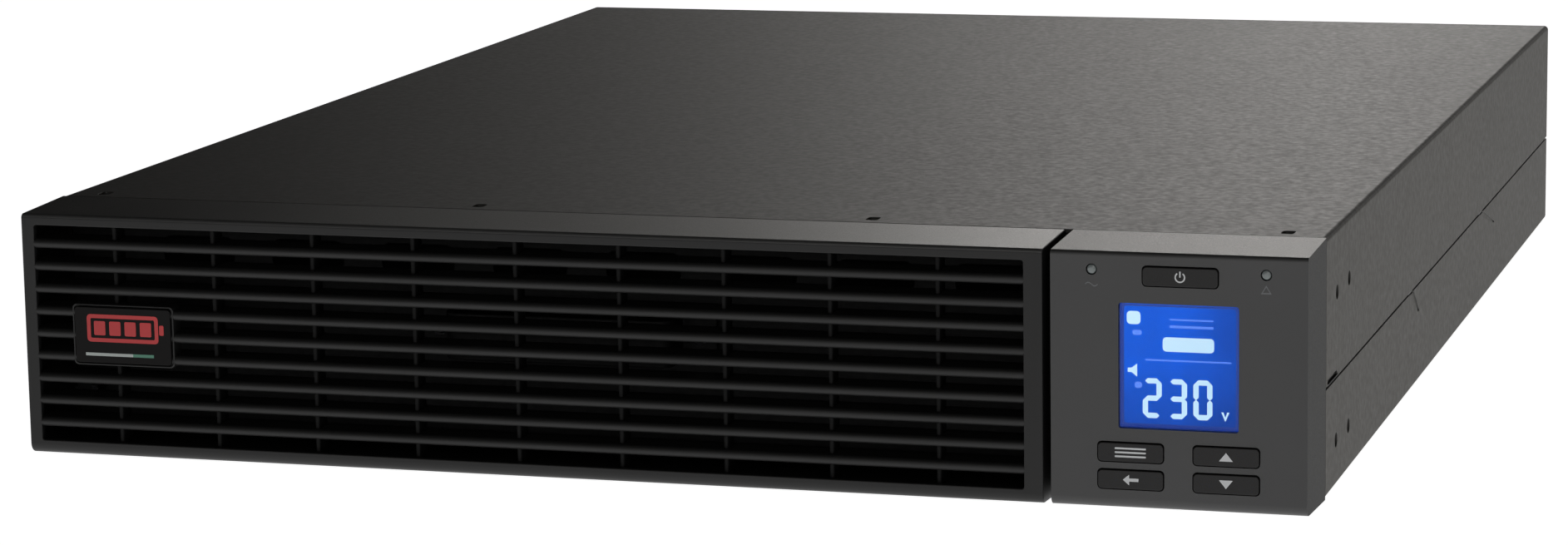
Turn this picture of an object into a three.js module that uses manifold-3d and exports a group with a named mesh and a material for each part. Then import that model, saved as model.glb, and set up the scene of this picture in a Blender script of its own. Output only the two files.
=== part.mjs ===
// A 2U rack-mount uninterruptible power supply, 3 kVA class, as an assembly of separate pieces.
// Millimetres, +Z up, +X to the right of someone facing the front, front face towards -Y.
// The origin is the centre of the box's bottom face: z = 0 is the surface that it stands on.
import * as THREE from "three";
import { mergeVertices } from "three/addons/utils/BufferGeometryUtils.js";
import Module from "manifold-3d";

const wasm = await Module();
wasm.setup();

// ---- Driving dimensions -------------------------------------------------------------------------
const WIDTH = 438; // body of a 19-inch unit without its ears
const HEIGHT = 85; // just under two rack units
const DEPTH = 600; // front face to the rearmost connector
const SHEET = 1.2; // steel sheet
const WALL = 2.2; // moulded plastic wall
const GAP = 0.3; // clearance between pieces that touch

const SIDE = WIDTH / 2; // outer face of the right side
const FRONT = -DEPTH / 2; // outer face of the bezel
const REAR_PROUD = 5; // how far connectors stand out of the rear panel
const REAR = DEPTH / 2 - REAR_PROUD; // outer face of the rear panel
const REAR_END = DEPTH / 2; // outermost face of the rear connectors
const CASE_END = REAR + 1; // the cover and base end just past the rear panel
const BEZEL_BACK = FRONT + 33.5; // where the moulded front meets the steel case
const CASE_START = BEZEL_BACK + GAP;
const SEAM = 36; // height of the joint between cover and base on each side
const SEAM_GAP = 0.8;
const SPLIT = 135.6; // x of the joint between the grille and the control panel
const SPLIT_GAP = 2.6;
const PANEL_MID = 178; // x of the middle of the control panel

const CORNER = 1.8; // bend radius of the sheet metal
const TOP_ROUND = 1.5; // edge radii of the moulded front
const BOTTOM_ROUND = 3.5;

// ---- Materials ----------------------------------------------------------------------------------
const finish = (color, roughness, metalness) =>
  new THREE.MeshStandardMaterial({ color, roughness, metalness });
const PAINT = finish(0x33332f, 0.55, 0.3); // powder-coated steel
const BEZEL = finish(0x2b2b2c, 0.6, 0); // textured black moulding
const KEYCAP = finish(0x141414, 0.45, 0);
const BARE_STEEL = finish(0xb4b6b8, 0.35, 0.9);
const BLACK_SCREW = finish(0x18181a, 0.4, 0.8);
const BLACK_PLASTIC = finish(0x161617, 0.5, 0);
const BATTERY_CASE = finish(0x2e3033, 0.55, 0);
const BOARD = finish(0x1f4d2b, 0.5, 0);
const ALUMINIUM = finish(0xa9adb0, 0.4, 0.9);
const SLEEVE = finish(0x1c2a52, 0.35, 0);
const COPPER = finish(0xa4562a, 0.35, 0.8);
const CLEAR = finish(0x9fb6e8, 0.08, 0);
const BLUE_SCREEN = finish(0x1f4fe0, 0.3, 0);
const RED_LEAD = finish(0xa01a16, 0.5, 0);
const GREY_RIBBON = finish(0x8d9094, 0.6, 0);

// ---- Solids -------------------------------------------------------------------------------------
// A closed three.js geometry as a solid that can be joined and cut.
const MERGE_DISTANCE = 1e-4;
function solid(geometry) {
  geometry.deleteAttribute("normal");
  geometry.deleteAttribute("uv");
  const merged = mergeVertices(geometry, MERGE_DISTANCE);
  return new wasm.Manifold(
    new wasm.Mesh({
      numProp: 3,
      vertProperties: merged.attributes.position.array,
      triVerts: new Uint32Array(merged.index.array),
    }),
  );
}

function geometryOf(manifold) {
  const mesh = manifold.getMesh();
  return new THREE.BufferGeometry()
    .setAttribute("position", new THREE.BufferAttribute(mesh.vertProperties, 3))
    .setIndex(new THREE.BufferAttribute(mesh.triVerts, 1));
}

// A box given by its limits along each axis.
function box([x0, x1], [y0, y1], [z0, z1]) {
  const g = new THREE.BoxGeometry(x1 - x0, y1 - y0, z1 - z0);
  return solid(g.translate((x0 + x1) / 2, (y0 + y1) / 2, (z0 + z1) / 2));
}

// A cylinder along an axis, from one place on it to another, centred at the two other coordinates.
function cylinder(axis, radius, [from, to], [u, v], sides = 16) {
  const g = new THREE.CylinderGeometry(radius, radius, to - from, sides);
  const mid = (from + to) / 2;
  if (axis === "x") return solid(g.rotateZ(Math.PI / 2).translate(mid, u, v));
  if (axis === "y") return solid(g.translate(u, mid, v));
  return solid(g.rotateX(Math.PI / 2).translate(u, v, mid));
}

// A flat shape through the given corners.
const outline = (points) => new THREE.Shape(points.map(([a, b]) => new THREE.Vector2(a, b)));

// A flat shape in the XZ plane, pushed along Y from y0 to y1.
function alongY(shape, [y0, y1], curveSegments = 4) {
  const g = new THREE.ExtrudeGeometry(shape, {
    depth: y1 - y0,
    bevelEnabled: false,
    curveSegments,
  });
  return solid(g.rotateX(Math.PI / 2).translate(0, y1, 0));
}

// A flat shape in the YZ plane, pushed along X from x0 to x1.
function alongX(shape, [x0, x1], curveSegments = 4) {
  const g = new THREE.ExtrudeGeometry(shape, {
    depth: x1 - x0,
    bevelEnabled: false,
    curveSegments,
  });
  return solid(g.rotateY(Math.PI / 2).rotateX(Math.PI / 2).translate(x0, 0, 0));
}

// A round piece about the Y axis from a profile of [radius, y] points that starts and ends on it.
function turned(profile, [x, z], sides = 16) {
  const points = profile.map(([r, y]) => new THREE.Vector2(r, y));
  return solid(new THREE.LatheGeometry(points, sides).translate(x, 0, z));
}

const grown = ([a, b], by) => [a - by, b + by];
const centred = (middle, size) => [middle - size / 2, middle + size / 2];
const union = (...pieces) => pieces.flat(Infinity).reduce((a, b) => a.add(b));
const cut = (from, ...tools) => tools.flat(Infinity).reduce((a, b) => a.subtract(b), from);
const times = (count, make) => Array.from({ length: count }, (_, i) => make(i));

const unit = new THREE.Group();

// Adds a named piece to the unit.
function piece(name, shape, material, [x, y, z] = [0, 0, 0]) {
  const mesh = new THREE.Mesh(geometryOf(shape), material);
  mesh.name = name;
  mesh.position.set(x, y, z);
  unit.add(mesh);
  return mesh;
}

// A rectangle with rounded corners, centred on the origin.
function roundedRectangle(width, height, radius) {
  const [w, h] = [width / 2, height / 2];
  const s = new THREE.Shape();
  s.moveTo(-w + radius, -h).lineTo(w - radius, -h);
  s.absarc(w - radius, -h + radius, radius, -Math.PI / 2, 0);
  s.lineTo(w, h - radius).absarc(w - radius, h - radius, radius, 0, Math.PI / 2);
  s.lineTo(-w + radius, h).absarc(-w + radius, h - radius, radius, Math.PI / 2, Math.PI);
  s.lineTo(-w, -h + radius);
  s.absarc(-w + radius, -h + radius, radius, Math.PI, 1.5 * Math.PI);
  return s;
}

// ---- Steel case ---------------------------------------------------------------------------------
const SIDE_SIGNS = [-1, 1];
const WALL_INNER = SIDE - SHEET; // inner face of the steel side walls
const JOGGLE_OUTER = WALL_INNER - GAP; // strip of the base that stands behind the cover's skirt
const JOGGLE_INNER = JOGGLE_OUTER - SHEET;
const BASE_TOP = SEAM - SEAM_GAP / 2;
const SKIRT_BOTTOM = SEAM + SEAM_GAP / 2;
const CASE_RUN = [CASE_START, CASE_END];
const PANEL_INNER = REAR - SHEET; // inner face of the rear panel

// A sheet channel open at the top, bent from one strip, with its outer face SIDE from the middle.
function channel(height) {
  const s = new THREE.Shape();
  s.moveTo(-SIDE, height).lineTo(-SIDE, CORNER);
  s.absarc(-SIDE + CORNER, CORNER, CORNER, Math.PI, 1.5 * Math.PI);
  s.lineTo(SIDE - CORNER, 0);
  s.absarc(SIDE - CORNER, CORNER, CORNER, -Math.PI / 2, 0);
  s.lineTo(SIDE, height).lineTo(WALL_INNER, height).lineTo(WALL_INNER, SHEET);
  s.lineTo(-WALL_INNER, SHEET).lineTo(-WALL_INNER, height);
  return alongY(s, CASE_RUN);
}

// Threaded holes for the rack ears, near the front of each side: [y, z, radius].
const EAR_HOLES = [
  [-245.8, 64, 2.4],
  [-222.6, 64.5, 2.4],
  [-246.5, 15.5, 2.4],
  [-222.6, 15.3, 2.4],
];
const earHoles = () =>
  EAR_HOLES.map(([y, z, r]) =>
    cylinder("x", r, [-SIDE - 1, SIDE + 1], [y, z], 8),
  );

// Tapered grooves pressed in below the seam, over the cover's hooks: [top y, foot y].
const GROOVE = { topWidth: 10, footWidth: 2.4, foot: 26, deep: 0.5 };
const GROOVES = [
  [-90, -71],
  [87, 128],
];
function pressedGrooves([top, foot]) {
  const [top0, top1] = centred(top, GROOVE.topWidth);
  const [foot0, foot1] = centred(foot, GROOVE.footWidth);
  const shape = outline([
    [top0, SEAM + 1],
    [top1, SEAM + 1],
    [foot1, GROOVE.foot],
    [foot0, GROOVE.foot],
  ]);
  return [
    alongX(shape, [-SIDE - 1, GROOVE.deep - SIDE]),
    alongX(shape, [SIDE - GROOVE.deep, SIDE + 1]),
  ];
}

// Posts that carry the circuit boards.
const POST_RADIUS = 3;
const BOARD_UNDERSIDE = 8;
const POSTS = [
  [-190, 86],
  [-190, 250],
  [110, 86],
  [110, 250],
  [146, -236],
  [208, -236],
  [146, 36],
  [208, 36],
];
const TRAY_SCREW_X = [-210.5, 127]; // a thumbscrew at each end of the tray's face
const TRAY_SCREW_Z = 19;
const TRAY_SCREW_THREAD = 2.4;
const FLANGE_RUN = [-262.4, -262.4 + SHEET]; // the flanges that the thumbscrews bite into
const trayScrewHole = (x, radius) =>
  cylinder("y", radius, [FRONT, FLANGE_RUN[1] + 1], [x, TRAY_SCREW_Z], 12);

// The base's top edge: a strip joggled inwards stands behind the cover's skirt, and a low shoulder
// closes the seam from behind.
const STRIP_RISE = 7;
const STRIP_LAP = 6;
const STRIP_WELD = 0.6;
const SHOULDER_LAP = 1;
const SHOULDER_STEP = 0.5;
function joggledEdge(side) {
  const run = [CASE_START + 6, PANEL_INNER - 0.6];
  const across = (a, b) => (side < 0 ? [-b, -a] : [a, b]);
  const shoulderRun = [run[0], CASE_END - GAP];
  const lap = [BASE_TOP - STRIP_LAP, BASE_TOP];
  const shoulder = [BASE_TOP - SHOULDER_LAP, SKIRT_BOTTOM - GAP];
  return union(
    box(across(JOGGLE_INNER, JOGGLE_OUTER), run, [lap[0], SEAM + STRIP_RISE]),
    box(across(JOGGLE_INNER, WALL_INNER + STRIP_WELD), run, lap),
    box(across(WALL_INNER, SIDE - SHOULDER_STEP), shoulderRun, shoulder),
  );
}

const FLANGE_X = [-WALL_INNER - STRIP_WELD, -205.5];
function baseShape() {
  const posts = POSTS.map(([x, y]) =>
    cylinder("z", POST_RADIUS, [SHEET / 2, BOARD_UNDERSIDE - GAP], [x, y], 8),
  );
  const flange = box(FLANGE_X, FLANGE_RUN, [SHEET / 2, BASE_TOP - 8]);
  return cut(
    union(channel(BASE_TOP), SIDE_SIGNS.map(joggledEdge), posts, flange),
    GROOVES.map(pressedGrooves),
    earHoles(),
    trayScrewHole(TRAY_SCREW_X[0], TRAY_SCREW_THREAD),
  );
}
piece("chassis_base", baseShape(), PAINT);

// The cover is the same channel turned over, with skirts that come down to the seam.
const COVER_SLOTS_X = [-206.5, -69.4, 67.9, 205.3];
const COVER_SLOT = { y: -258.5, across: 4, along: 6 };
const NOTCH_RUN = [CASE_START + 3, -243]; // the raised stretch at the front of each skirt
const NOTCH_TOP = SEAM + 2.4;
function coverShape() {
  const turnedOver = channel(HEIGHT - SKIRT_BOTTOM)
    .mirror([0, 0, 1])
    .translate([0, 0, HEIGHT]);
  const { y, across, along } = COVER_SLOT;
  const slots = COVER_SLOTS_X.map((x) =>
    box(centred(x, across), centred(y, along), [HEIGHT - 3, HEIGHT + 1]),
  );
  const notches = SIDE_SIGNS.map((side) => {
    const middle = (side * (SIDE + WALL_INNER)) / 2;
    return box(centred(middle, SHEET + 2), NOTCH_RUN, [SEAM - 2, NOTCH_TOP]);
  });
  return cut(turnedOver, slots, notches, earHoles());
}
piece("top_cover", coverShape(), PAINT);

// The sheet that closes off the battery bay: beside the tray, behind it, and a flange at its front.
const BAY_SIDE = [134.6, 134.6 + SHEET];
const BAY_BACK = [60, 60 + SHEET];
const BAY_FLANGE_X = [123, BAY_SIDE[1]];
const BAY_Z = [SHEET + GAP, HEIGHT - SHEET - GAP];
const PLUG_X = [102.2, 120.2];
const PLUG_Z = [8, 26];
function bayWallShape() {
  return cut(
    union(
      box(BAY_SIDE, [FLANGE_RUN[0], BAY_BACK[1]], BAY_Z),
      box([-JOGGLE_INNER + GAP, BAY_SIDE[1]], BAY_BACK, BAY_Z),
      box(BAY_FLANGE_X, FLANGE_RUN, BAY_Z),
    ),
    box(grown(PLUG_X, GAP), grown(BAY_BACK, 1), grown(PLUG_Z, GAP)),
    trayScrewHole(TRAY_SCREW_X[1], TRAY_SCREW_THREAD),
  );
}
piece("bay_wall", bayWallShape(), PAINT);

// ---- Moulded front ------------------------------------------------------------------------------
const PROUD = 0.6; // how far the badge and the keys stand out of the mouldings
const FACE = FRONT + PROUD;
const FACE_THICK = 2.5;
const TOP_DROP = 1; // the moulding's top and bottom faces close in towards the front
const BOTTOM_RISE = 1.5;
const GRILLE_X = [-SIDE, SPLIT - SPLIT_GAP / 2];
const PANEL_X = [SPLIT + SPLIT_GAP / 2, SIDE];

// A shallow cap with a solid front and an open back, between two places along X.
function moulding([x0, x1]) {
  const [low, high] = [BOTTOM_RISE, HEIGHT - TOP_DROP];
  const [rt, rb] = [TOP_ROUND, BOTTOM_ROUND];
  const side = new THREE.Shape();
  side.moveTo(BEZEL_BACK, HEIGHT).lineTo(FACE + rt, high);
  side.absarc(FACE + rt, high - rt, rt, Math.PI / 2, Math.PI);
  side.lineTo(FACE, low + rb);
  side.absarc(FACE + rb, low + rb, rb, Math.PI, 1.5 * Math.PI);
  side.lineTo(BEZEL_BACK, 0);
  const cavity = box(
    grown([x0, x1], -WALL),
    [FACE + FACE_THICK, BEZEL_BACK + 1],
    [low + WALL, high - WALL],
  );
  return cut(alongX(side, [x0, x1]), cavity);
}

const OPENING_X = [-214.5, 128];
const OPENING_Z = [6.4, 80.2];
const SLOT_COUNT = 10;
const SLOT_PITCH = 7.66;
const FIRST_SLOT_Z = 8.8;
const SLAT_HEIGHT = 3.4;
const SLAT_BACK = 1.8; // height of a slat's back edge
const SLAT_DEPTH = 12;
const SLAT_LEAN = 0.8; // the slats rise a little towards the back
const RIB_COUNT = 9;
const RIB_PITCH = 35.7;
const RIB_THICK = 1.6;
const RIB_RUN = [FACE + 2.2, FACE + 9.7]; // the ribs start just behind the noses of the slats

// One louvre blade: a rounded nose and a body that tapers towards the back.
function slat(z) {
  const r = SLAT_HEIGHT / 2;
  const section = new THREE.Shape();
  section.absarc(FACE + r, z, r, Math.PI / 2, 1.5 * Math.PI);
  section.lineTo(FACE + SLAT_DEPTH, z + SLAT_LEAN - SLAT_BACK / 2);
  section.lineTo(FACE + SLAT_DEPTH, z + SLAT_LEAN + SLAT_BACK / 2);
  return alongX(section, grown(OPENING_X, 0.5), 2);
}

const BADGE_X = [-200.4, -165.5];
const BADGE_Z = [34, 53];
const BADGE_THICK = 1.2;
const BADGE_PAD = 1; // the solid border behind and around the badge
const BADGE_PAD_DEEP = 6;

function grilleShape() {
  const opening = box(OPENING_X, [FRONT - 1, FACE + FACE_THICK + 1], OPENING_Z);
  const slats = times(SLOT_COUNT - 1, (i) => slat(FIRST_SLOT_Z + (i + 0.5) * SLOT_PITCH));
  const firstRib = (OPENING_X[0] + OPENING_X[1] - RIB_PITCH * (RIB_COUNT - 1)) / 2;
  const ribs = times(RIB_COUNT, (i) => {
    const x = firstRib + i * RIB_PITCH;
    return box(centred(x, RIB_THICK), RIB_RUN, grown(OPENING_Z, 2));
  });
  const badgePad = box(
    grown(BADGE_X, BADGE_PAD),
    [FACE, FACE + BADGE_PAD_DEEP],
    grown(BADGE_Z, BADGE_PAD),
  );
  const badgePocket = box(
    grown(BADGE_X, GAP),
    [FRONT - 1, FRONT + BADGE_THICK + GAP],
    grown(BADGE_Z, GAP),
  );
  return cut(
    union(cut(moulding(GRILLE_X), opening), slats, ribs, badgePad),
    badgePocket,
  );
}
piece("front_grille", grilleShape(), BEZEL);
piece("badge", box(BADGE_X, [FRONT, FRONT + BADGE_THICK], BADGE_Z), BLACK_PLASTIC);

// The control panel: a window for the display, five keys and two indicator lights.
const WINDOW_X = centred(PANEL_MID, 38.4);
const WINDOW_Z = [27.6, 67.8];
const KEY_WIDTH = 21;
const KEY_HEIGHT = 6.2;
const KEY_CORNER = 1.4;
const KEY_FLANGE = 1.2; // width and thickness of the flange that keeps a key in its hole
const KEY_BACK = FACE + FACE_THICK + GAP + KEY_FLANGE;
const KEYS = [
  ["power_button", PANEL_MID + 0.6, 76.6, KEY_WIDTH + 3],
  ["menu_button", PANEL_MID - 15.3, 19.9, KEY_WIDTH],
  ["back_button", PANEL_MID - 15.3, 11.1, KEY_WIDTH],
  ["up_button", PANEL_MID + 15.3, 19.9, KEY_WIDTH],
  ["down_button", PANEL_MID + 15.3, 11.1, KEY_WIDTH],
];
const LIGHTS = [
  ["online_light", PANEL_MID - 27.8],
  ["fault_light", PANEL_MID + 27.8],
];
const LIGHT_Z = 78.2;
const LIGHT_RADIUS = 1.5;

// A rounded block facing the front, with its middle at x, z.
function keyBlock(x, z, width, height, run) {
  return alongY(roundedRectangle(width, height, KEY_CORNER), run, 2).translate([x, 0, z]);
}

function controlPanelShape() {
  const through = [FRONT - 1, FACE + FACE_THICK + 1];
  const keyHoles = KEYS.map(([, x, z, width]) =>
    keyBlock(x, z, width + 2 * GAP, KEY_HEIGHT + 2 * GAP, through),
  );
  const lightHoles = LIGHTS.map(([, x]) =>
    cylinder("y", LIGHT_RADIUS + GAP, through, [x, LIGHT_Z], 12),
  );
  const windowHole = box(WINDOW_X, through, WINDOW_Z);
  return cut(moulding(PANEL_X), keyHoles, lightHoles, windowHole);
}
piece("control_panel", controlPanelShape(), BEZEL);

for (const [name, x, z, width] of KEYS) {
  const cap = keyBlock(x, z, width, KEY_HEIGHT, [FRONT, KEY_BACK]);
  const flange = keyBlock(
    x,
    z,
    width + 2 * KEY_FLANGE,
    KEY_HEIGHT + 2 * KEY_FLANGE,
    [FACE + FACE_THICK + GAP, KEY_BACK],
  );
  piece(name, union(cap, flange), KEYCAP);
}

const BOARD_THICK = 1.6;
const PANE_RUN = [FACE + 0.2, FACE + 1.8];
const MODULE_RUN = [FACE + FACE_THICK + GAP, FACE + FACE_THICK + 4.4];
const BOARD_RUN = [MODULE_RUN[1] + GAP, MODULE_RUN[1] + GAP + BOARD_THICK];
const MODULE_Z = [WINDOW_Z[0] - 2.2, WINDOW_Z[1] + 2.6]; // clear of the keys above and below it
piece("lcd_window", box(grown(WINDOW_X, -GAP), PANE_RUN, grown(WINDOW_Z, -GAP)), CLEAR);
piece("lcd_module", box(grown(WINDOW_X, 3), MODULE_RUN, MODULE_Z), BLUE_SCREEN);
for (const [name, x] of LIGHTS) {
  const lens = cylinder("y", LIGHT_RADIUS, [FACE - 0.2, BOARD_RUN[0] - GAP], [x, LIGHT_Z], 12);
  piece(name, lens, CLEAR);
}
const DISPLAY_BOARD_X = centred(PANEL_MID, 74);
const DISPLAY_BOARD_Z = [5, 81];
piece("display_board", box(DISPLAY_BOARD_X, BOARD_RUN, DISPLAY_BOARD_Z), BOARD);

// ---- Battery tray -------------------------------------------------------------------------------
const TRAY_FACE_RUN = [FLANGE_RUN[0] - GAP - SHEET, FLANGE_RUN[0] - GAP];
const TRAY_X = [-204, 122];
const TRAY_FLOOR_Z = [SHEET + 2 * GAP, 2 * SHEET + 2 * GAP];
const TRAY_END = 54;
const TRAY_WALL_TOP = 30;
const TRAY_VENTS = { count: 8, first: -183, pitch: 40, across: 26, z: [62, 72] };
const TRAY_SCREW_CLEARANCE = 3;
const BATTERY = { across: 151, long: 94, tall: 65, terminal: 5 };
const BATTERY_PITCH = BATTERY.long + BATTERY.terminal + 1.6;
const BATTERY_Z0 = TRAY_FLOOR_Z[1] + GAP;
const TERMINALS = [0.12, 0.88]; // places of the two tabs across a battery
const TERMINAL_Z = [52, 54];
const LID = { tall: 7.6, seam: 0.8, seamDeep: 0.6 };

function batteryTrayShape() {
  const faceX = [-WALL_INNER + 2 * GAP, BAY_SIDE[0] - 2 * GAP];
  const face = box(faceX, TRAY_FACE_RUN, [TRAY_FLOOR_Z[0], HEIGHT - SHEET - 2 * GAP]);
  const run = [TRAY_FACE_RUN[0] + SHEET / 2, TRAY_END];
  const wallZ = [TRAY_FLOOR_Z[0], TRAY_WALL_TOP];
  const pan = cut(
    box(TRAY_X, run, wallZ),
    box(grown(TRAY_X, -SHEET), [run[0] - 1, TRAY_END - SHEET], [TRAY_FLOOR_Z[1], HEIGHT]),
  );
  const vents = times(TRAY_VENTS.count, (i) => {
    const x = TRAY_VENTS.first + i * TRAY_VENTS.pitch;
    return box([x, x + TRAY_VENTS.across], [FRONT, TRAY_FACE_RUN[1] + 1], TRAY_VENTS.z);
  });
  const plugHole = box(grown(PLUG_X, GAP), [TRAY_END - 3, TRAY_END + 1], grown(PLUG_Z, GAP));
  const screwHoles = TRAY_SCREW_X.map((x) => trayScrewHole(x, TRAY_SCREW_CLEARANCE));
  return cut(union(face, pan), vents, plugHole, screwHoles);
}
piece("battery_tray", batteryTrayShape(), PAINT);

// Two rows of three sealed 12 V blocks, laid on their sides with their terminals to the rear.
function batteryShape(x0, y0) {
  const { across, long, tall, terminal } = BATTERY;
  const [x, y, z] = [
    [x0, x0 + across],
    [y0, y0 + long],
    [BATTERY_Z0, BATTERY_Z0 + tall],
  ];
  const tabs = TERMINALS.map((t) =>
    box(centred(x0 + across * t, 6), [y[1] - 1, y[1] + terminal], TERMINAL_Z),
  );
  const seam = box(grown(x, 1), centred(y[1] - LID.tall, LID.seam), grown(z, 1));
  const core = box(grown(x, -LID.seamDeep), centred(y[1] - LID.tall, 3), grown(z, -LID.seamDeep));
  return union(cut(box(x, y, z), seam), core, tabs);
}
const BATTERY_COLUMNS = [
  ["left", TRAY_X[0] + SHEET + 0.6],
  ["right", TRAY_X[0] + SHEET + 1.4 + BATTERY.across],
];
const BATTERY_ROWS = ["front", "middle", "rear"];
const rowY = (row) => TRAY_FACE_RUN[1] + 1.5 + row * BATTERY_PITCH;
for (const [columnName, x] of BATTERY_COLUMNS) {
  BATTERY_ROWS.forEach((rowName, row) => {
    piece(`battery_${rowName}_${columnName}`, batteryShape(x, rowY(row)), BATTERY_CASE);
  });
}

// A folded pull handle on the tray's face.
const HANDLE_X = [-76, 4];
const HANDLE_REACH = 15;
const HANDLE_Z = [36, 52];
const HANDLE_SHEET = 2;
const HANDLE_FOOT = 12;
function trayHandleShape() {
  const back = TRAY_FACE_RUN[0] - GAP;
  const front = back - HANDLE_REACH;
  const bail = cut(
    box(HANDLE_X, [front, back], HANDLE_Z),
    box(grown(HANDLE_X, -HANDLE_SHEET), [front + HANDLE_SHEET, back + 1], grown(HANDLE_Z, 1)),
  );
  const footRun = [back - HANDLE_SHEET, back];
  const feet = [
    box([HANDLE_X[0] - HANDLE_FOOT, HANDLE_X[0] + 1], footRun, HANDLE_Z),
    box([HANDLE_X[1] - 1, HANDLE_X[1] + HANDLE_FOOT], footRun, HANDLE_Z),
  ];
  return union(bail, feet);
}
piece("tray_handle", trayHandleShape(), PAINT);

const THUMBSCREW = { head: 4.4, tall: 9, chamfer: 0.5, shank: 2, reach: 3 };
TRAY_SCREW_X.forEach((x, i) => {
  const { head, tall, chamfer, shank, reach } = THUMBSCREW;
  const seat = TRAY_FACE_RUN[0] - GAP;
  const profile = [
    [0, seat - tall],
    [head - chamfer, seat - tall],
    [head, seat - tall + chamfer],
    [head, seat],
    [shank, seat],
    [shank, FLANGE_RUN[1] + reach],
    [0, FLANGE_RUN[1] + reach],
  ];
  piece(`tray_thumbscrew_${["left", "right"][i]}`, turned(profile, [x, TRAY_SCREW_Z]), BARE_STEEL);
});

// The tray's plug meets the fixed socket as the tray goes home.
const MATE_Y = 58;
const PLUG_LONG = 24;
const SOCKET_LONG = 18;
piece("tray_plug", box(PLUG_X, [MATE_Y - PLUG_LONG, MATE_Y], PLUG_Z), KEYCAP);
piece("bay_socket", box(PLUG_X, [MATE_Y + GAP, MATE_Y + SOCKET_LONG], PLUG_Z), KEYCAP);

// One loom: out of the plug, down to the tray's floor and forward beside the blocks, with a branch
// that rises and crosses over each row of terminals, in the space between the rows.
const LOOM = { trunk: 2.8, branch: 2.2, bend: 22, end: 20, over: 1, stub: 1, sides: 8 };
const LOOM_LOW = TRAY_FLOOR_Z[1] + GAP + LOOM.trunk;
const LOOM_HIGH = TERMINAL_Z[1] + LOOM.over + LOOM.branch;
function lead(axis, radius, span, at) {
  return cylinder(axis, radius, span, at, LOOM.sides);
}
function batteryLoomShape() {
  const { trunk, branch, bend } = LOOM;
  const x = (PLUG_X[0] + PLUG_X[1]) / 2;
  const plugZ = (PLUG_Z[0] + PLUG_Z[1]) / 2;
  const overTerminals = (row) => rowY(row) + BATTERY.long + (BATTERY_PITCH - BATTERY.long) / 2;
  const branches = BATTERY_ROWS.map((_, row) => {
    const y = overTerminals(row);
    const riser = Math.min(y, bend);
    return union(
      lead("z", branch, [LOOM_LOW, LOOM_HIGH + branch], [x, riser]),
      lead("y", branch, [riser - branch, y + branch], [x, LOOM_HIGH]),
      lead("x", branch, [TRAY_X[0] + LOOM.end, x], [y, LOOM_HIGH]),
    );
  });
  return union(
    lead("y", trunk, [bend - LOOM.stub, MATE_Y - PLUG_LONG - GAP], [x, plugZ]),
    lead("z", trunk, [LOOM_LOW, plugZ + trunk], [x, bend]),
    lead("y", trunk, [overTerminals(0) - trunk, bend + trunk], [x, LOOM_LOW]),
    branches,
  );
}
piece("battery_loom", batteryLoomShape(), RED_LEAD);

// ---- Power section ------------------------------------------------------------------------------
const BOARD_Z = [BOARD_UNDERSIDE, BOARD_UNDERSIDE + BOARD_THICK];
const ON_BOARD = BOARD_Z[1] + GAP;
const POWER_BOARD = { x: [-206, 126], y: [78, 262] };
const CHARGER_BOARD = { x: [140, 214], y: [-244, 46] };
piece("power_board", box(POWER_BOARD.x, POWER_BOARD.y, BOARD_Z), BOARD);
piece("charger_board", box(CHARGER_BOARD.x, CHARGER_BOARD.y, BOARD_Z), BOARD);

// A finned extrusion that runs front to back so that the fans draw air along it.
const SINK = { y: 92, width: 44, length: 150, tall: 56, foot: 5, fins: 6, fin: 2 };
const SINKS = [
  ["heatsink_left", -196],
  ["heatsink_right", -92],
];
function heatsinkShape(x0) {
  const run = [SINK.y, SINK.y + SINK.length];
  const pitch = (SINK.width - SINK.fin) / (SINK.fins - 1);
  const fins = times(SINK.fins, (i) => {
    const x = x0 + i * pitch;
    return box([x, x + SINK.fin], run, [ON_BOARD + 2, ON_BOARD + SINK.tall]);
  });
  return union(box([x0, x0 + SINK.width], run, [ON_BOARD, ON_BOARD + SINK.foot]), fins);
}
for (const [name, x] of SINKS) piece(name, heatsinkShape(x), ALUMINIUM);

// Snap-in bulk capacitors standing on the board.
const CAPACITOR = { x: -122, radius: 17.5, tall: 50, roll: 2 };
const CAPACITORS = [
  ["capacitor_front", 130],
  ["capacitor_rear", 172],
];
for (const [name, y] of CAPACITORS) {
  const { x, radius, tall, roll } = CAPACITOR;
  const profile = [
    [0, 0],
    [radius, 0],
    [radius, tall - roll],
    [radius - roll, tall],
    [0, tall],
  ];
  const upright = turned(profile, [0, 0], 20).rotate([90, 0, 0]);
  piece(name, upright, SLEEVE, [x, y, ON_BOARD]);
}

// A ring of wire on a core, lying flat.
const CHOKE = { x: 8, y: 120, outer: 30, inner: 12, tall: 26, edge: 4 };
function chokeShape() {
  const [r, e] = [CHOKE.outer, CHOKE.edge];
  const section = [
    [CHOKE.inner, e],
    [CHOKE.inner + e, 0],
    [r - e, 0],
    [r, e],
    [r, CHOKE.tall - e],
    [r - e, CHOKE.tall],
    [CHOKE.inner + e, CHOKE.tall],
    [CHOKE.inner, CHOKE.tall - e],
    [CHOKE.inner, e],
  ];
  return turned(section, [0, 0], 18).rotate([90, 0, 0]);
}
piece("output_choke", chokeShape(), COPPER, [CHOKE.x, CHOKE.y, ON_BOARD]);

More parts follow.
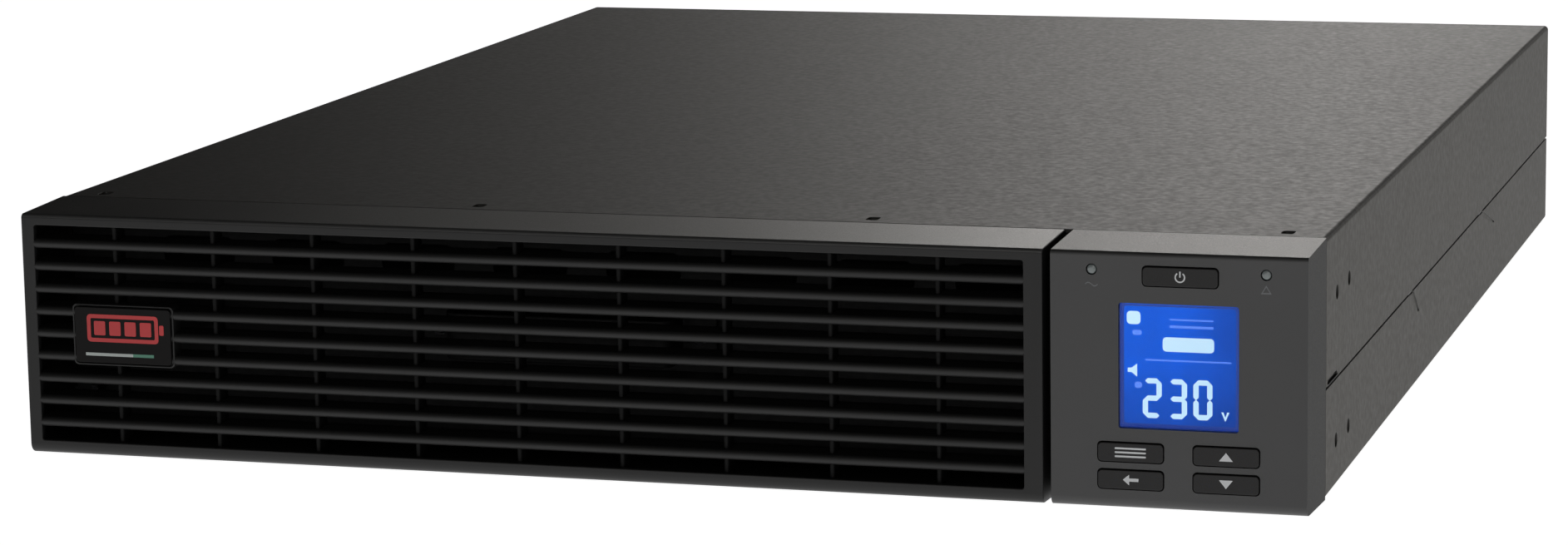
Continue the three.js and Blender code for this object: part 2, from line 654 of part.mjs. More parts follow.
// A transformer: a laminated core around a wound bobbin.
const CORE = { across: 52, along: 40, tall: 44, leg: 9 };
const BOBBIN = { across: 33, along: 54, z: [7, 36] };
function transformerShape() {
  const across = centred(0, CORE.across);
  const frame = cut(
    box(across, centred(0, CORE.along), [0, CORE.tall]),
    box(grown(across, -CORE.leg), centred(0, CORE.along + 2), [CORE.leg, CORE.tall - CORE.leg]),
  );
  const winding = box(centred(0, BOBBIN.across), centred(0, BOBBIN.along), BOBBIN.z);
  const key = box(centred(0, BOBBIN.across + 7), centred(0, 16), centred(CORE.tall / 2, 4));
  return union(frame, winding, key);
}
piece("charger_transformer", transformerShape(), COPPER, [177, -140, ON_BOARD]);

const RELAY = { x: [60, 90], y: [180, 208], tall: 26 };
piece(
  "transfer_relay",
  box(RELAY.x, RELAY.y, [ON_BOARD, ON_BOARD + RELAY.tall]),
  BLACK_PLASTIC,
);

// The flat cable from the display board back to the charger board.
const RIBBON = { top: 26, width: 22, thick: 1, level: 24, drop: -228, foot: 9 };
function ribbonShape() {
  const start = BOARD_RUN[1] + GAP;
  const { top, thick, level, drop, foot } = RIBBON;
  const route = outline([
    [start, top],
    [start + level, top],
    [drop, ON_BOARD + foot],
    [drop, ON_BOARD],
    [drop - thick, ON_BOARD],
    [drop - thick, ON_BOARD + foot - 0.4],
    [start + level - 0.4, top - thick],
    [start, top - thick],
  ]);
  return alongX(route, centred(PANEL_MID, RIBBON.width));
}
piece("display_ribbon", ribbonShape(), GREY_RIBBON);

// ---- Fans ---------------------------------------------------------------------------------------
const FAN = { size: 70, deep: 25, bore: 33, hub: 15, tip: 31.5, blades: 7, holes: 30.75, strut: 3 };
const BLADE = { chord: 18, thick: 1.4, pitch: (35 * Math.PI) / 180, root: 2 };
const FAN_Z = 42.5;
const FANS = [
  ["left", -172],
  ["right", -94],
];
const FAN_RUN = [PANEL_INNER - GAP - FAN.deep, PANEL_INNER - GAP];
const MOTOR_RUN = [FAN_RUN[1] - 6, FAN_RUN[1]];
const GUARD = { wire: 1.6, rings: [12, 21, 30], eye: 3.6 };

// Two bars across a fan that cross at its middle, from corner to corner.
const crossed = (reach, run, width) =>
  times(2, (i) => {
    const bar = box([-reach, reach], run, centred(0, width));
    return bar.rotate([0, 45 + 90 * i, 0]);
  });

function fanHousingShape() {
  const body = cut(
    keyBlock(0, 0, FAN.size, FAN.size, FAN_RUN),
    cylinder("y", FAN.bore, grown(FAN_RUN, 1), [0, 0], 28),
  );
  const struts = crossed(FAN.bore + 1, [MOTOR_RUN[0] + 2, MOTOR_RUN[1]], FAN.strut);
  return union(body, struts, cylinder("y", FAN.hub, MOTOR_RUN, [0, 0], 20));
}

function fanRotorShape() {
  const run = [FAN_RUN[0] + 2, MOTOR_RUN[0] - 0.8];
  const middle = (run[0] + run[1]) / 2;
  const blades = times(FAN.blades, (i) => {
    const length = FAN.tip - FAN.hub + BLADE.root;
    const blade = new THREE.BoxGeometry(length, BLADE.thick, BLADE.chord);
    blade.rotateX(BLADE.pitch).translate(FAN.tip - length / 2, 0, 0);
    blade.rotateY((2 * Math.PI * i) / FAN.blades).translate(0, middle, 0);
    return solid(blade);
  });
  return union(cylinder("y", FAN.hub, run, [0, 0], 20), blades);
}

function fanGuardShape() {
  const { wire } = GUARD;
  const back = REAR + GAP;
  const [near, far] = [back + 1.4, back + 1.4 + wire];
  const rings = GUARD.rings.map((r) => {
    const section = [
      [r, near],
      [r + wire, near],
      [r + wire, far],
      [r, far],
      [r, near],
    ];
    return turned(section, [0, 0], 16);
  });
  const spokes = crossed(FAN.holes * Math.SQRT2, [back + 0.2, back + 0.2 + wire], wire);
  const eyes = SIDE_SIGNS.flatMap((i) =>
    SIDE_SIGNS.map((j) =>
      cylinder("y", GUARD.eye, [back, back + 2], [i * FAN.holes, j * FAN.holes], 8),
    ),
  );
  return union(rings, spokes, eyes);
}

for (const [side, x] of FANS) {
  piece(`fan_housing_${side}`, fanHousingShape(), BLACK_PLASTIC, [x, 0, FAN_Z]);
  piece(`fan_rotor_${side}`, fanRotorShape(), BLACK_PLASTIC, [x, 0, FAN_Z]);
  piece(`fan_guard_${side}`, fanGuardShape(), BARE_STEEL, [x, 0, FAN_Z]);
}

// ---- Rear panel and its connectors --------------------------------------------------------------
const LIP = [REAR + GAP, REAR + 2]; // the flange of a connector, against the outside of the panel
const UPPER_Z = 61;
const LOWER_Z = 24;
const INLET = { x: -28, z: UPPER_Z, width: 36, height: 28 };
const BREAKER = { x: -28, z: LOWER_Z };
const BANK = { x: 49, width: 104, height: 28, pitch: 34, z: [UPPER_Z, LOWER_Z] };
const WIDE_OUTLET = { x: 126, z: UPPER_Z, width: 36, height: 32 };
const EPO = { x: 126, z: 22, width: 20, height: 11 };
const USB = { x: 160, z: 22, width: 13, height: 12 };
const SERIAL = { x: 193, z: 22, width: 31, height: 12.5 };
const SLOT = { x: 180, z: 60, width: 62, height: 34, screws: 52 };
const GROUND = { x: 126, z: 38.5 };

const plate = ({ x, z, width, height }, run) => box(centred(x, width), run, centred(z, height));
const smaller = (part, by) => ({
  ...part,
  width: part.width - 2 * by,
  height: part.height - 2 * by,
});

// The shaped outline of a socket or plug face, with its two upper corners cut off.
function socketOutline(width, height, chamfer) {
  const [w, h] = [width / 2, height / 2];
  return outline([
    [-w, -h],
    [w, -h],
    [w, h - chamfer],
    [w - chamfer, h],
    [-w + chamfer, h],
    [-w, h - chamfer],
  ]);
}

// The groove and the three contact slots of an outlet, as one cutter.
function outletCutters(x, z, { width, height, chamfer, rim }) {
  const run = [LIP[1] - 15, LIP[1] + 1];
  const groove = cut(
    alongY(socketOutline(width, height, chamfer), run),
    alongY(socketOutline(width - 2 * rim, height - 2 * rim, chamfer), [run[0] - 1, run[1] + 1]),
  );
  const slots = [
    [-width / 4, -1.5],
    [0, 2],
    [width / 4, -1.5],
  ].map(([sx, sz]) => box(centred(sx, 2), run, centred(sz, 4.4)));
  return [groove, ...slots].map((shape) => shape.translate([x, 0, z]));
}
const SMALL_SOCKET = { width: 24, height: 16.4, chamfer: 5, rim: 2.6 };
const LARGE_SOCKET = { width: 31, height: 23, chamfer: 1, rim: 3 };

const BODY_RUN = [PANEL_INNER - 18, REAR + 1];
function outletBankShape(z) {
  const bank = { ...BANK, z };
  const cutters = times(3, (i) => outletCutters(BANK.x + (i - 1) * BANK.pitch, z, SMALL_SOCKET));
  return cut(union(plate(bank, LIP), plate(smaller(bank, 3), BODY_RUN)), cutters);
}
piece("outlet_bank_upper", outletBankShape(BANK.z[0]), BLACK_PLASTIC);
piece("outlet_bank_lower", outletBankShape(BANK.z[1]), BLACK_PLASTIC);
piece(
  "wide_outlet",
  cut(
    union(plate(WIDE_OUTLET, LIP), plate(smaller(WIDE_OUTLET, 2), BODY_RUN)),
    outletCutters(WIDE_OUTLET.x, WIDE_OUTLET.z, LARGE_SOCKET),
  ),
  BLACK_PLASTIC,
);

// The mains inlet: a deep recess with three flat blades.
const INLET_RECESS = { width: 27, height: 19, deep: 17 };
function inletShape() {
  const body = union(plate(INLET, LIP), plate(smaller(INLET, 2), [PANEL_INNER - 22, REAR + 1]));
  const floor = LIP[1] - INLET_RECESS.deep;
  const recess = plate({ ...INLET, ...INLET_RECESS }, [floor, LIP[1] + 1]);
  const blades = [
    [-8, -2],
    [0, 3],
    [8, -2],
  ].map(([dx, dz]) =>
    box(centred(INLET.x + dx, 2), [floor - 1, LIP[1] - 2], centred(INLET.z + dz, 6)),
  );
  return union(cut(body, recess), blades);
}
piece("ac_inlet", inletShape(), BLACK_PLASTIC);

// The push-to-reset breaker: a threaded barrel with a nut, and a button that pops out.
const BUTTON_RADIUS = 3.6;
const BARREL_RADIUS = 6;
const NUT_RADIUS = 9;
const BREAKER_RADIUS = 11;
const BREAKER_LONG = 28;
const BUTTON_SEAT = PANEL_INNER - 8;
function breakerShape() {
  const bore = BUTTON_RADIUS + GAP;
  const back = PANEL_INNER - BREAKER_LONG;
  const nutFace = REAR + 2.6;
  const profile = [
    [0, back],
    [BREAKER_RADIUS, back],
    [BREAKER_RADIUS, PANEL_INNER - 2],
    [BARREL_RADIUS, PANEL_INNER - 2],
    [BARREL_RADIUS, REAR + GAP],
    [NUT_RADIUS, REAR + GAP],
    [NUT_RADIUS, nutFace],
    [bore, nutFace],
    [bore, BUTTON_SEAT],
    [0, BUTTON_SEAT],
  ];
  return turned(profile, [BREAKER.x, BREAKER.z], 20);
}
piece("circuit_breaker", breakerShape(), BLACK_PLASTIC);
const BUTTON_RUN = [BUTTON_SEAT + GAP, REAR + 4.2];
piece(
  "breaker_button",
  cylinder("y", BUTTON_RADIUS, BUTTON_RUN, [BREAKER.x, BREAKER.z], 16),
  BLACK_PLASTIC,
);

piece("epo_terminal", plate(EPO, [PANEL_INNER - 10, REAR + 3]), BLACK_PLASTIC);

function usbShape() {
  const shell = plate(USB, [PANEL_INNER - 14, REAR + 1]);
  const hollow = plate(smaller(USB, 1.6), [REAR - 9, REAR + 2]);
  const tongue = plate({ ...USB, width: 6, height: 3.2 }, [REAR - 10, REAR]);
  return union(cut(shell, hollow), tongue);
}
piece("usb_port", usbShape(), BARE_STEEL);

// A nine-way data connector: a flange, a shell that stands out of it, and two jack nuts.
const SERIAL_SHELL = { ...SERIAL, width: 17.4, height: 8.6 };
const SERIAL_BODY = smaller(SERIAL_SHELL, -1);
const JACK_NUT = { radius: 2.7, spacing: 25 };
function serialShape() {
  const nuts = centred(SERIAL.x, JACK_NUT.spacing).map((x) =>
    cylinder("y", JACK_NUT.radius, [REAR + 1, REAR_END], [x, SERIAL.z], 6),
  );
  return union(
    plate(SERIAL, [REAR + GAP, REAR + GAP + 1]),
    plate(SERIAL_BODY, [PANEL_INNER - 8, REAR + 1]),
    plate(SERIAL_SHELL, [REAR + 1, REAR_END]),
    nuts,
  );
}
piece("serial_port", serialShape(), BARE_STEEL);

// The blank plate over the accessory slot, with a screw at each end.
const SCREW_HOLE = 1.8;
const SLOT_OPENING = { width: 44, height: 26 };
const SLOT_SCREW_X = centred(SLOT.x, SLOT.screws);
const slotScrewHoles = (run) =>
  SLOT_SCREW_X.map((x) => cylinder("y", SCREW_HOLE, run, [x, SLOT.z], 10));
const SLOT_RUN = [REAR + GAP, REAR + GAP + SHEET];
piece("slot_cover", cut(plate(SLOT, SLOT_RUN), slotScrewHoles(grown(SLOT_RUN, 1))), PAINT);

// A pan-head screw that enters the rear panel, with the underside of its head at seat.
const SHANK = SCREW_HOLE - GAP;
const SHANK_LONG = 7;
function panScrew([x, z], seat, radius) {
  const profile = [
    [0, seat - SHANK_LONG],
    [SHANK, seat - SHANK_LONG],
    [SHANK, seat],
    [radius, seat],
    [radius, seat + 0.8],
    [radius * 0.7, seat + 1.9],
    [0, seat + 2.1],
  ];
  return turned(profile, [x, z], 14);
}
SLOT_SCREW_X.forEach((x, i) => {
  const screw = panScrew([x, SLOT.z], SLOT_RUN[1] + GAP, 2.8);
  piece(`slot_screw_${["inner", "outer"][i]}`, screw, BLACK_SCREW);
});
piece("ground_screw", panScrew([GROUND.x, GROUND.z], REAR + GAP, 3.6), BARE_STEEL);

function rearPanelShape() {
  const run = [PANEL_INNER - 1, REAR + 1];
  const sheet = box([-WALL_INNER + GAP, WALL_INNER - GAP], [PANEL_INNER, REAR], BAY_Z);
  const openings = [
    ...FANS.map(([, x]) => cylinder("y", FAN.bore, run, [x, FAN_Z], 28)),
    ...BANK.z.map((z) => plate(smaller({ ...BANK, z }, 3 - GAP), run)),
    plate(smaller(WIDE_OUTLET, 2 - GAP), run),
    plate(smaller(INLET, 2 - GAP), run),
    cylinder("y", BARREL_RADIUS + GAP, run, [BREAKER.x, BREAKER.z], 20),
    plate(smaller(EPO, -GAP), run),
    plate(smaller(USB, -GAP), run),
    plate(smaller(SERIAL_BODY, -GAP), run),
    plate({ ...SLOT, ...SLOT_OPENING }, run),
    ...slotScrewHoles(run),
    cylinder("y", SCREW_HOLE, run, [GROUND.x, GROUND.z], 10),
  ];
  return cut(sheet, openings);
}
piece("rear_panel", rearPanelShape(), PAINT);

export default unit;
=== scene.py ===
"""The looks of a 2U rack-mount uninterruptible power supply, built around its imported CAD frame.

Lengths below are in millimetres in the CAD frame and become metres as a mesh is made.
"""

import math

import bmesh
import bpy
from mathutils import Matrix, Vector


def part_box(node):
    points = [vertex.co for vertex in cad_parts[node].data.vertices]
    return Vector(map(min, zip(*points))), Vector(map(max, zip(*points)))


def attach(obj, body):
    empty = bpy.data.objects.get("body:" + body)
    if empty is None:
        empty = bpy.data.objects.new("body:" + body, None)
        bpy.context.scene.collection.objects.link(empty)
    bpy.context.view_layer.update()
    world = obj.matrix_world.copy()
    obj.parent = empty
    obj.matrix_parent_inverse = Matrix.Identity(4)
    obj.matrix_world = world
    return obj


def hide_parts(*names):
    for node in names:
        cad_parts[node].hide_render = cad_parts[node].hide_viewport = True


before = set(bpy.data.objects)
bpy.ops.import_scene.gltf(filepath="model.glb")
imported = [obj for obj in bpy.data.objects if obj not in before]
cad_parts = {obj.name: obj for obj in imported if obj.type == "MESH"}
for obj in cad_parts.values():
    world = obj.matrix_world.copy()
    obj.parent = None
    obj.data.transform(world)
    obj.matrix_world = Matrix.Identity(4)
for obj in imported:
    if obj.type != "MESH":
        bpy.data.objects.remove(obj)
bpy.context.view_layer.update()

MM = 0.001
# Room in millimetres between a piece and the opening that it sits in.
CLEARANCE = 0.3


def node_box(node):
    """A CAD node's limits in millimetres, as ((x0, x1), (y0, y1), (z0, z1))."""
    low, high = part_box(node)
    return tuple((a / MM, b / MM) for a, b in zip(low, high))


def middle(span):
    return (span[0] + span[1]) / 2


def grown(span, by):
    return (span[0] - by, span[1] + by)


def around(centre, size):
    return (centre - size / 2, centre + size / 2)


def half(span):
    return (span[1] - span[0]) / 2


def part_of(span, part):
    """The place that is the given part of the way along a span."""
    return span[0] + (span[1] - span[0]) * part


def spans(centre, width, height):
    """The spans of a width and a height about a centre."""
    return around(centre[0], width), around(centre[1], height)


def centre_of(node):
    """The middle of a CAD node as seen from the front, as (x, z)."""
    x, _, z = node_box(node)
    return middle(x), middle(z)


# ---- Camera, lights and floor -------------------------------------------------------------------
CAMERA_PLACE = (457.3, -1658.0, 324.2)
CAMERA_YAW, CAMERA_PITCH, CAMERA_ROLL = (math.radians(a) for a in (16.711, 10.023, -0.875))
CAMERA_LENS = 103.15
WARM = (1.0, 0.975, 0.94)
WORLD_STRENGTH = 0.004
FLOOR_SPAN = (-30000, 30000)
FLOOR_Z = (-1.5, -0.5)


def make_camera():
    yaw, pitch, roll = CAMERA_YAW, CAMERA_PITCH, CAMERA_ROLL
    ahead = Vector((-math.sin(yaw), math.cos(yaw), 0))
    forward = ahead * math.cos(pitch) - Vector((0, 0, math.sin(pitch)))
    level = Vector((math.cos(yaw), math.sin(yaw), 0))
    upward = level.cross(forward)
    right = level * math.cos(roll) + upward * math.sin(roll)
    up = upward * math.cos(roll) - level * math.sin(roll)
    data = bpy.data.cameras.new("camera")
    data.sensor_width = 36
    data.lens = CAMERA_LENS
    data.clip_end = 50
    camera = bpy.data.objects.new("camera", data)
    camera.matrix_world = Matrix.Translation(Vector(CAMERA_PLACE) * MM) @ Matrix(
        (right, up, -forward)
    ).transposed().to_4x4()
    bpy.context.scene.collection.objects.link(camera)
    bpy.context.scene.camera = camera


def area_light(name, place, target, size, power):
    data = bpy.data.lights.new(name, "AREA")
    data.shape = "RECTANGLE"
    data.size, data.size_y = size
    data.energy = power
    data.color = WARM
    light = bpy.data.objects.new(name, data)
    light.location = place
    light.rotation_mode = "QUATERNION"
    light.rotation_quaternion = (Vector(target) - Vector(place)).to_track_quat("-Z", "Y")
    bpy.context.scene.collection.objects.link(light)


# Panels of light: (name, place, target, width and height, watts). Their reflection in the top cover
# gives its slow change of tone, from dark at the left to bright at the right.
LIGHT_PANELS = (
    ("backdrop_high", (-0.62, 3.6, 1.65), (-0.62, 0, 1.65), (0.5, 1.1), 9.65),
    ("backdrop_low", (-0.2, 3.6, 0.8), (-0.2, 0, 0.8), (0.6, 0.6), 4.25),
    ("backdrop_right", (0.9, 3.6, 0.6), (0.9, 0, 0.6), (1.2, 1.0), 2.8),
    ("backdrop_left", (-1.45, 3.6, 1.1), (-1.45, 0, 1.1), (0.6, 0.3), 0.38),
    ("backdrop_middle", (-1.05, 3.6, 1.05), (-1.05, 0, 1.05), (0.4, 0.3), 0.63),
    ("front_panel", (0.8, -3.2, 1.2), (0.1, -0.2, 0.05), (2.4, 1.4), 17.5),
)


def make_studio():
    world = bpy.data.worlds.new("studio")
    world.use_nodes = True
    background = world.node_tree.nodes["Background"]
    background.inputs["Color"].default_value = (*WARM, 1)
    background.inputs["Strength"].default_value = WORLD_STRENGTH
    bpy.context.scene.world = world
    for panel in LIGHT_PANELS:
        area_light(*panel)


def make_floor():
    floor = prism("studio_floor", rectangle(FLOOR_SPAN, FLOOR_SPAN), "z", FLOOR_Z)
    s = Shader("studio_floor")
    s.colour(s.ramp(s.noise(0.6, 2), (0.9, 0.9, 0.9), (0.93, 0.93, 0.93)))
    s.set(Roughness=0.8, Emission_Strength=0.96)
    s.surface.inputs["Emission Color"].default_value = (1, 1, 1, 1)
    floor.data.materials.append(s.material)


# ---- Materials ----------------------------------------------------------------------------------
class Shader:
    """A Principled material whose colour, roughness and relief come from nodes in object space."""

    def __init__(self, name):
        self.material = bpy.data.materials.new(name)
        self.material.use_nodes = True
        self.nodes = self.material.node_tree.nodes
        self.links = self.material.node_tree.links
        self.surface = self.nodes["Principled BSDF"]
        self.place = self.nodes.new("ShaderNodeTexCoord").outputs["Object"]

    def set(self, **values):
        for key, value in values.items():
            self.surface.inputs[key.replace("_", " ")].default_value = value

    def noise(self, scale, detail, stretch=None):
        """Noise whose scale is in features per metre."""
        node = self.nodes.new("ShaderNodeTexNoise")
        node.inputs["Scale"].default_value = scale
        node.inputs["Detail"].default_value = detail
        source = self.place
        if stretch:
            mapping = self.nodes.new("ShaderNodeMapping")
            mapping.inputs["Scale"].default_value = stretch
            self.links.new(self.place, mapping.inputs["Vector"])
            source = mapping.outputs["Vector"]
        self.links.new(source, node.inputs["Vector"])
        return node.outputs["Fac"]

    def ramp(self, source, low, high, start=0.3, end=0.7):
        """Maps start to end onto low to high, which are both numbers or both colours."""
        if isinstance(low, tuple):
            node = self.nodes.new("ShaderNodeValToRGB")
            stops = node.color_ramp.elements
            stops[0].position, stops[1].position = start, end
            stops[0].color, stops[1].color = (*low, 1), (*high, 1)
            self.links.new(source, node.inputs["Fac"])
            return node.outputs["Color"]
        node = self.nodes.new("ShaderNodeMapRange")
        limits = {"From Min": start, "From Max": end, "To Min": low, "To Max": high}
        for key, value in limits.items():
            node.inputs[key].default_value = value
        self.links.new(source, node.inputs["Value"])
        return node.outputs["Result"]

    def mix(self, factor, first, second):
        node = self.nodes.new("ShaderNodeMix")
        node.data_type = "RGBA"
        self.links.new(factor, node.inputs[0])
        for socket, value in ((node.inputs[6], first), (node.inputs[7], second)):
            if isinstance(value, tuple):
                socket.default_value = (*value, 1)
            else:
                self.links.new(value, socket)
        return node.outputs[2]

    def product(self, first, second):
        node = self.nodes.new("ShaderNodeMath")
        node.operation = "MULTIPLY"
        self.links.new(first, node.inputs[0])
        self.links.new(second, node.inputs[1])
        return node.outputs["Value"]

    def edges(self, radius):
        """1 on an edge that is sharper than the radius, 0 on the flat."""
        bevel = self.nodes.new("ShaderNodeBevel")
        bevel.samples = 4
        bevel.inputs["Radius"].default_value = radius
        geometry = self.nodes.new("ShaderNodeNewGeometry")
        dot = self.nodes.new("ShaderNodeVectorMath")
        dot.operation = "DOT_PRODUCT"
        self.links.new(bevel.outputs["Normal"], dot.inputs[0])
        self.links.new(geometry.outputs["Normal"], dot.inputs[1])
        return self.ramp(dot.outputs["Value"], 1.0, 0.0, 0.75, 0.97)

    def colour(self, source):
        self.links.new(source, self.surface.inputs["Base Color"])

    def roughness(self, source):
        self.links.new(source, self.surface.inputs["Roughness"])

    def relief(self, source, depth):
        """Bumps of the given depth in metres."""
        node = self.nodes.new("ShaderNodeBump")
        node.inputs["Strength"].default_value = 1.0
        node.inputs["Distance"].default_value = depth
        self.links.new(source, node.inputs["Height"])
        self.links.new(node.outputs["Normal"], self.surface.inputs["Normal"])


def shade(colour, factor):
    return tuple(c * factor for c in colour)


def powder_coat(name, colour, roughness, gloss=0.42):
    """Textured powder coat on steel: a fine pebble, a soft mottle and paler worn edges."""
    s = Shader(name)
    pebble, mottle = s.noise(1900, 3), s.noise(380, 3)
    tone = s.ramp(s.noise(9, 4), shade(colour, 0.9), shade(colour, 1.1))
    speck = s.mix(s.ramp(pebble, 0.0, 0.35, 0.35, 0.75), tone, shade(colour, 1.5))
    worn = s.product(s.ramp(s.noise(160, 3), 0.0, 0.5, 0.5, 0.75), s.edges(0.0006))
    s.colour(s.mix(worn, speck, shade(colour, 3.0)))
    s.roughness(s.ramp(mottle, roughness - 0.05, roughness + 0.05))
    s.relief(pebble, 0.00002)
    s.set(IOR=1.5, Specular_IOR_Level=gloss)
    return s.material


def moulded(name, colour, roughness, grain=2600, depth=0.000012, gloss=0.5, sheen=0.0):
    """Spark-eroded moulded plastic: an even fine grain, a slight change of tone and a painted
    highlight along its edges.
    """
    s = Shader(name)
    fine = s.noise(grain, 2)
    tone = s.ramp(s.noise(14, 3), shade(colour, 0.92), shade(colour, 1.08))
    # Every edge is painted paler, a painted highlight.
    s.colour(s.mix(s.ramp(s.edges(0.0005), 0.0, 0.4, 0.0, 1.0), tone, shade(colour, 1.7)))
    s.roughness(s.ramp(fine, roughness - 0.06, roughness + 0.06))
    s.relief(fine, depth)
    s.set(IOR=1.49, Specular_IOR_Level=gloss)
    s.set(Coat_Weight=sheen, Coat_Roughness=roughness, Coat_IOR=1.4)
    return s.material


def metal(name, colour, roughness, grain=(60, 60, 1600)):
    """Plated or plain metal with fine drawn lines."""
    s = Shader(name)
    lines = s.noise(1, 2, stretch=grain)
    s.colour(s.ramp(s.noise(40, 3), shade(colour, 0.88), shade(colour, 1.06)))
    s.roughness(s.ramp(lines, roughness - 0.08, roughness + 0.1))
    s.relief(lines, 0.000004)
    s.set(Metallic=1.0)
    return s.material


def circuit_board(name, colour):
    """Solder mask over copper traces, with tinned pads."""
    s = Shader(name)
    traces = s.nodes.new("ShaderNodeTexBrick")
    layout = {"Scale": 120, "Mortar Size": 0.06, "Brick Width": 1.4, "Row Height": 0.35}
    for key, value in layout.items():
        traces.inputs[key].default_value = value
    traces.inputs["Color1"].default_value = (*colour, 1)
    traces.inputs["Color2"].default_value = (*shade(colour, 0.8), 1)
    traces.inputs["Mortar"].default_value = (*shade(colour, 1.9), 1)
    s.links.new(s.place, traces.inputs["Vector"])
    pads = s.nodes.new("ShaderNodeTexVoronoi")
    pads.inputs["Scale"].default_value = 260
    s.links.new(s.place, pads.inputs["Vector"])
    dots = s.ramp(pads.outputs["Distance"], 1.0, 0.0, 0.16, 0.2)
    s.colour(s.mix(dots, traces.outputs["Color"], (0.45, 0.46, 0.44)))
    s.roughness(s.ramp(s.noise(300, 2), 0.28, 0.42))
    s.relief(traces.outputs["Fac"], 0.00003)
    return s.material


def winding(name, colour):
    """Varnished wire lying side by side, with painted shade in the grooves between the wires."""
    s = Shader(name)
    wave = s.nodes.new("ShaderNodeTexWave")
    wave.inputs["Scale"].default_value = 260
    wave.inputs["Distortion"].default_value = 1.2
    s.links.new(s.place, wave.inputs["Vector"])
    # The wave's troughs, the grooves between the wires, are painted darker: painted shade.
    s.colour(s.ramp(wave.outputs["Fac"], shade(colour, 0.35), shade(colour, 1.1), 0.05, 0.6))
    s.roughness(s.ramp(s.noise(200, 2), 0.22, 0.4))
    s.relief(wave.outputs["Fac"], 0.0003)
    s.set(Metallic=0.7)
    return s.material


def cable_jacket(name, colour):
    s = Shader(name)
    s.colour(s.ramp(s.noise(30, 3), shade(colour, 0.85), shade(colour, 1.12)))
    s.roughness(s.ramp(s.noise(500, 2), 0.37, 0.53))
    s.relief(s.noise(900, 2), 0.00001)
    return s.material


def glowing(name, colour, strength, variation=0.12):
    """A lit part of the display, whose tone wanders a little."""
    s = Shader(name)
    tone = s.ramp(s.noise(26, 2), shade(colour, 1 - variation), shade(colour, 1 + variation))
    s.links.new(tone, s.surface.inputs["Emission Color"])
    s.surface.inputs["Base Color"].default_value = (*shade(colour, 0.1), 1)
    s.set(Emission_Strength=strength, Roughness=0.4)
    return s.material


def backlight(name, colour, strength, span_x, span_z):
    """A lit screen that dims towards its right and lower edges, over the given spans."""
    s = Shader(name)
    split = s.nodes.new("ShaderNodeSeparateXYZ")
    s.links.new(s.place, split.inputs["Vector"])
    across = s.ramp(split.outputs["X"], 1.0, 0.62, *(a * MM for a in span_x))
    down = s.ramp(split.outputs["Z"], 0.65, 1.0, *(a * MM for a in span_z))
    wander = s.product(s.product(across, down), s.ramp(s.noise(70, 2), 0.9, 1.05))
    s.links.new(s.mix(wander, (0.0, 0.0, 0.0), colour), s.surface.inputs["Emission Color"])
    s.surface.inputs["Base Color"].default_value = (*shade(colour, 0.05), 1)
    s.set(Emission_Strength=strength, Roughness=0.6, Specular_IOR_Level=0.1)
    return s.material


def display_window(name):
    s = Shader(name)
    s.colour(s.ramp(s.noise(30, 2), (0.93, 0.95, 0.97), (1.0, 1.0, 1.0)))
    s.roughness(s.ramp(s.noise(400, 2), 0.04, 0.1))
    s.set(Transmission_Weight=1.0, IOR=1.15)
    return s.material


# ---- Mesh work ----------------------------------------------------------------------------------
def collection_link(obj):
    bpy.context.scene.collection.objects.link(obj)
    return obj


def object_from(name, bm):
    bmesh.ops.recalc_face_normals(bm, faces=bm.faces)
    mesh = bpy.data.meshes.new(name)
    bm.to_mesh(mesh)
    bm.free()
    return collection_link(bpy.data.objects.new(name, mesh))


AXES = {
    "x": lambda a, b, t: (t, a, b),
    "y": lambda a, b, t: (a, t, b),
    "z": lambda a, b, t: (a, b, t),
}


def add_prism(bm, outline, axis, span):
    """A closed outline, pushed along an axis between two places. The outline's two numbers are the
    other two axes in X, Y, Z order."""
    put = AXES[axis]
    rings = [[bm.verts.new(Vector(put(a, b, t)) * MM) for a, b in outline] for t in span]
    bm.faces.new(rings[0])
    bm.faces.new(rings[1][::-1])
    count = len(outline)
    for i in range(count):
        j = (i + 1) % count
        bm.faces.new((rings[0][i], rings[1][i], rings[1][j], rings[0][j]))


def arc(centre, radius, start, end, steps=6):
    """Points on an arc, by angles in degrees."""
    angles = (math.radians(start + (end - start) * i / steps) for i in range(steps + 1))
    return [(centre[0] + radius * math.cos(t), centre[1] + radius * math.sin(t)) for t in angles]


def rounded_outline(span_a, span_b, radius, steps=5):
    (a0, a1), (b0, b1) = span_a, span_b
    corners = (
        (a1 - radius, b0 + radius, -90),
        (a1 - radius, b1 - radius, 0),
        (a0 + radius, b1 - radius, 90),
        (a0 + radius, b0 + radius, 180),
    )
    return [p for a, b, start in corners for p in arc((a, b), radius, start, start + 90, steps)]


def rectangle(span_a, span_b):
    (a0, a1), (b0, b1) = span_a, span_b
    return [(a0, b0), (a1, b0), (a1, b1), (a0, b1)]


def circle(centre, radius, steps=24):
    return arc(centre, radius, 0, 360 - 360 / steps, steps - 1)


def shifted(points, base_a, base_b=0):
    """Points that are given from a base, as places in the frame."""
    return [(base_a + a, base_b + b) for a, b in points]


def prism(name, outline, axis, span):
    return prisms(name, [(outline, axis, span)])


def prisms(name, items):
    """One mesh of several prisms, each (outline, axis, span)."""
    bm = bmesh.new()
    for outline, axis, span in items:
        add_prism(bm, outline, axis, span)
    return object_from(name, bm)


def block(name, x, y, z):
    return prism(name, rectangle(x, z), "y", y)


def plate(name, x, z, radius, y):
    """A block whose corners are rounded as seen from the front."""
    return prism(name, rounded_outline(x, z, radius), "y", y)


def hole(centre, radius, y, steps=24):
    """A round cutter along Y."""
    return prism("hole", circle(centre, radius, steps), "y", y)


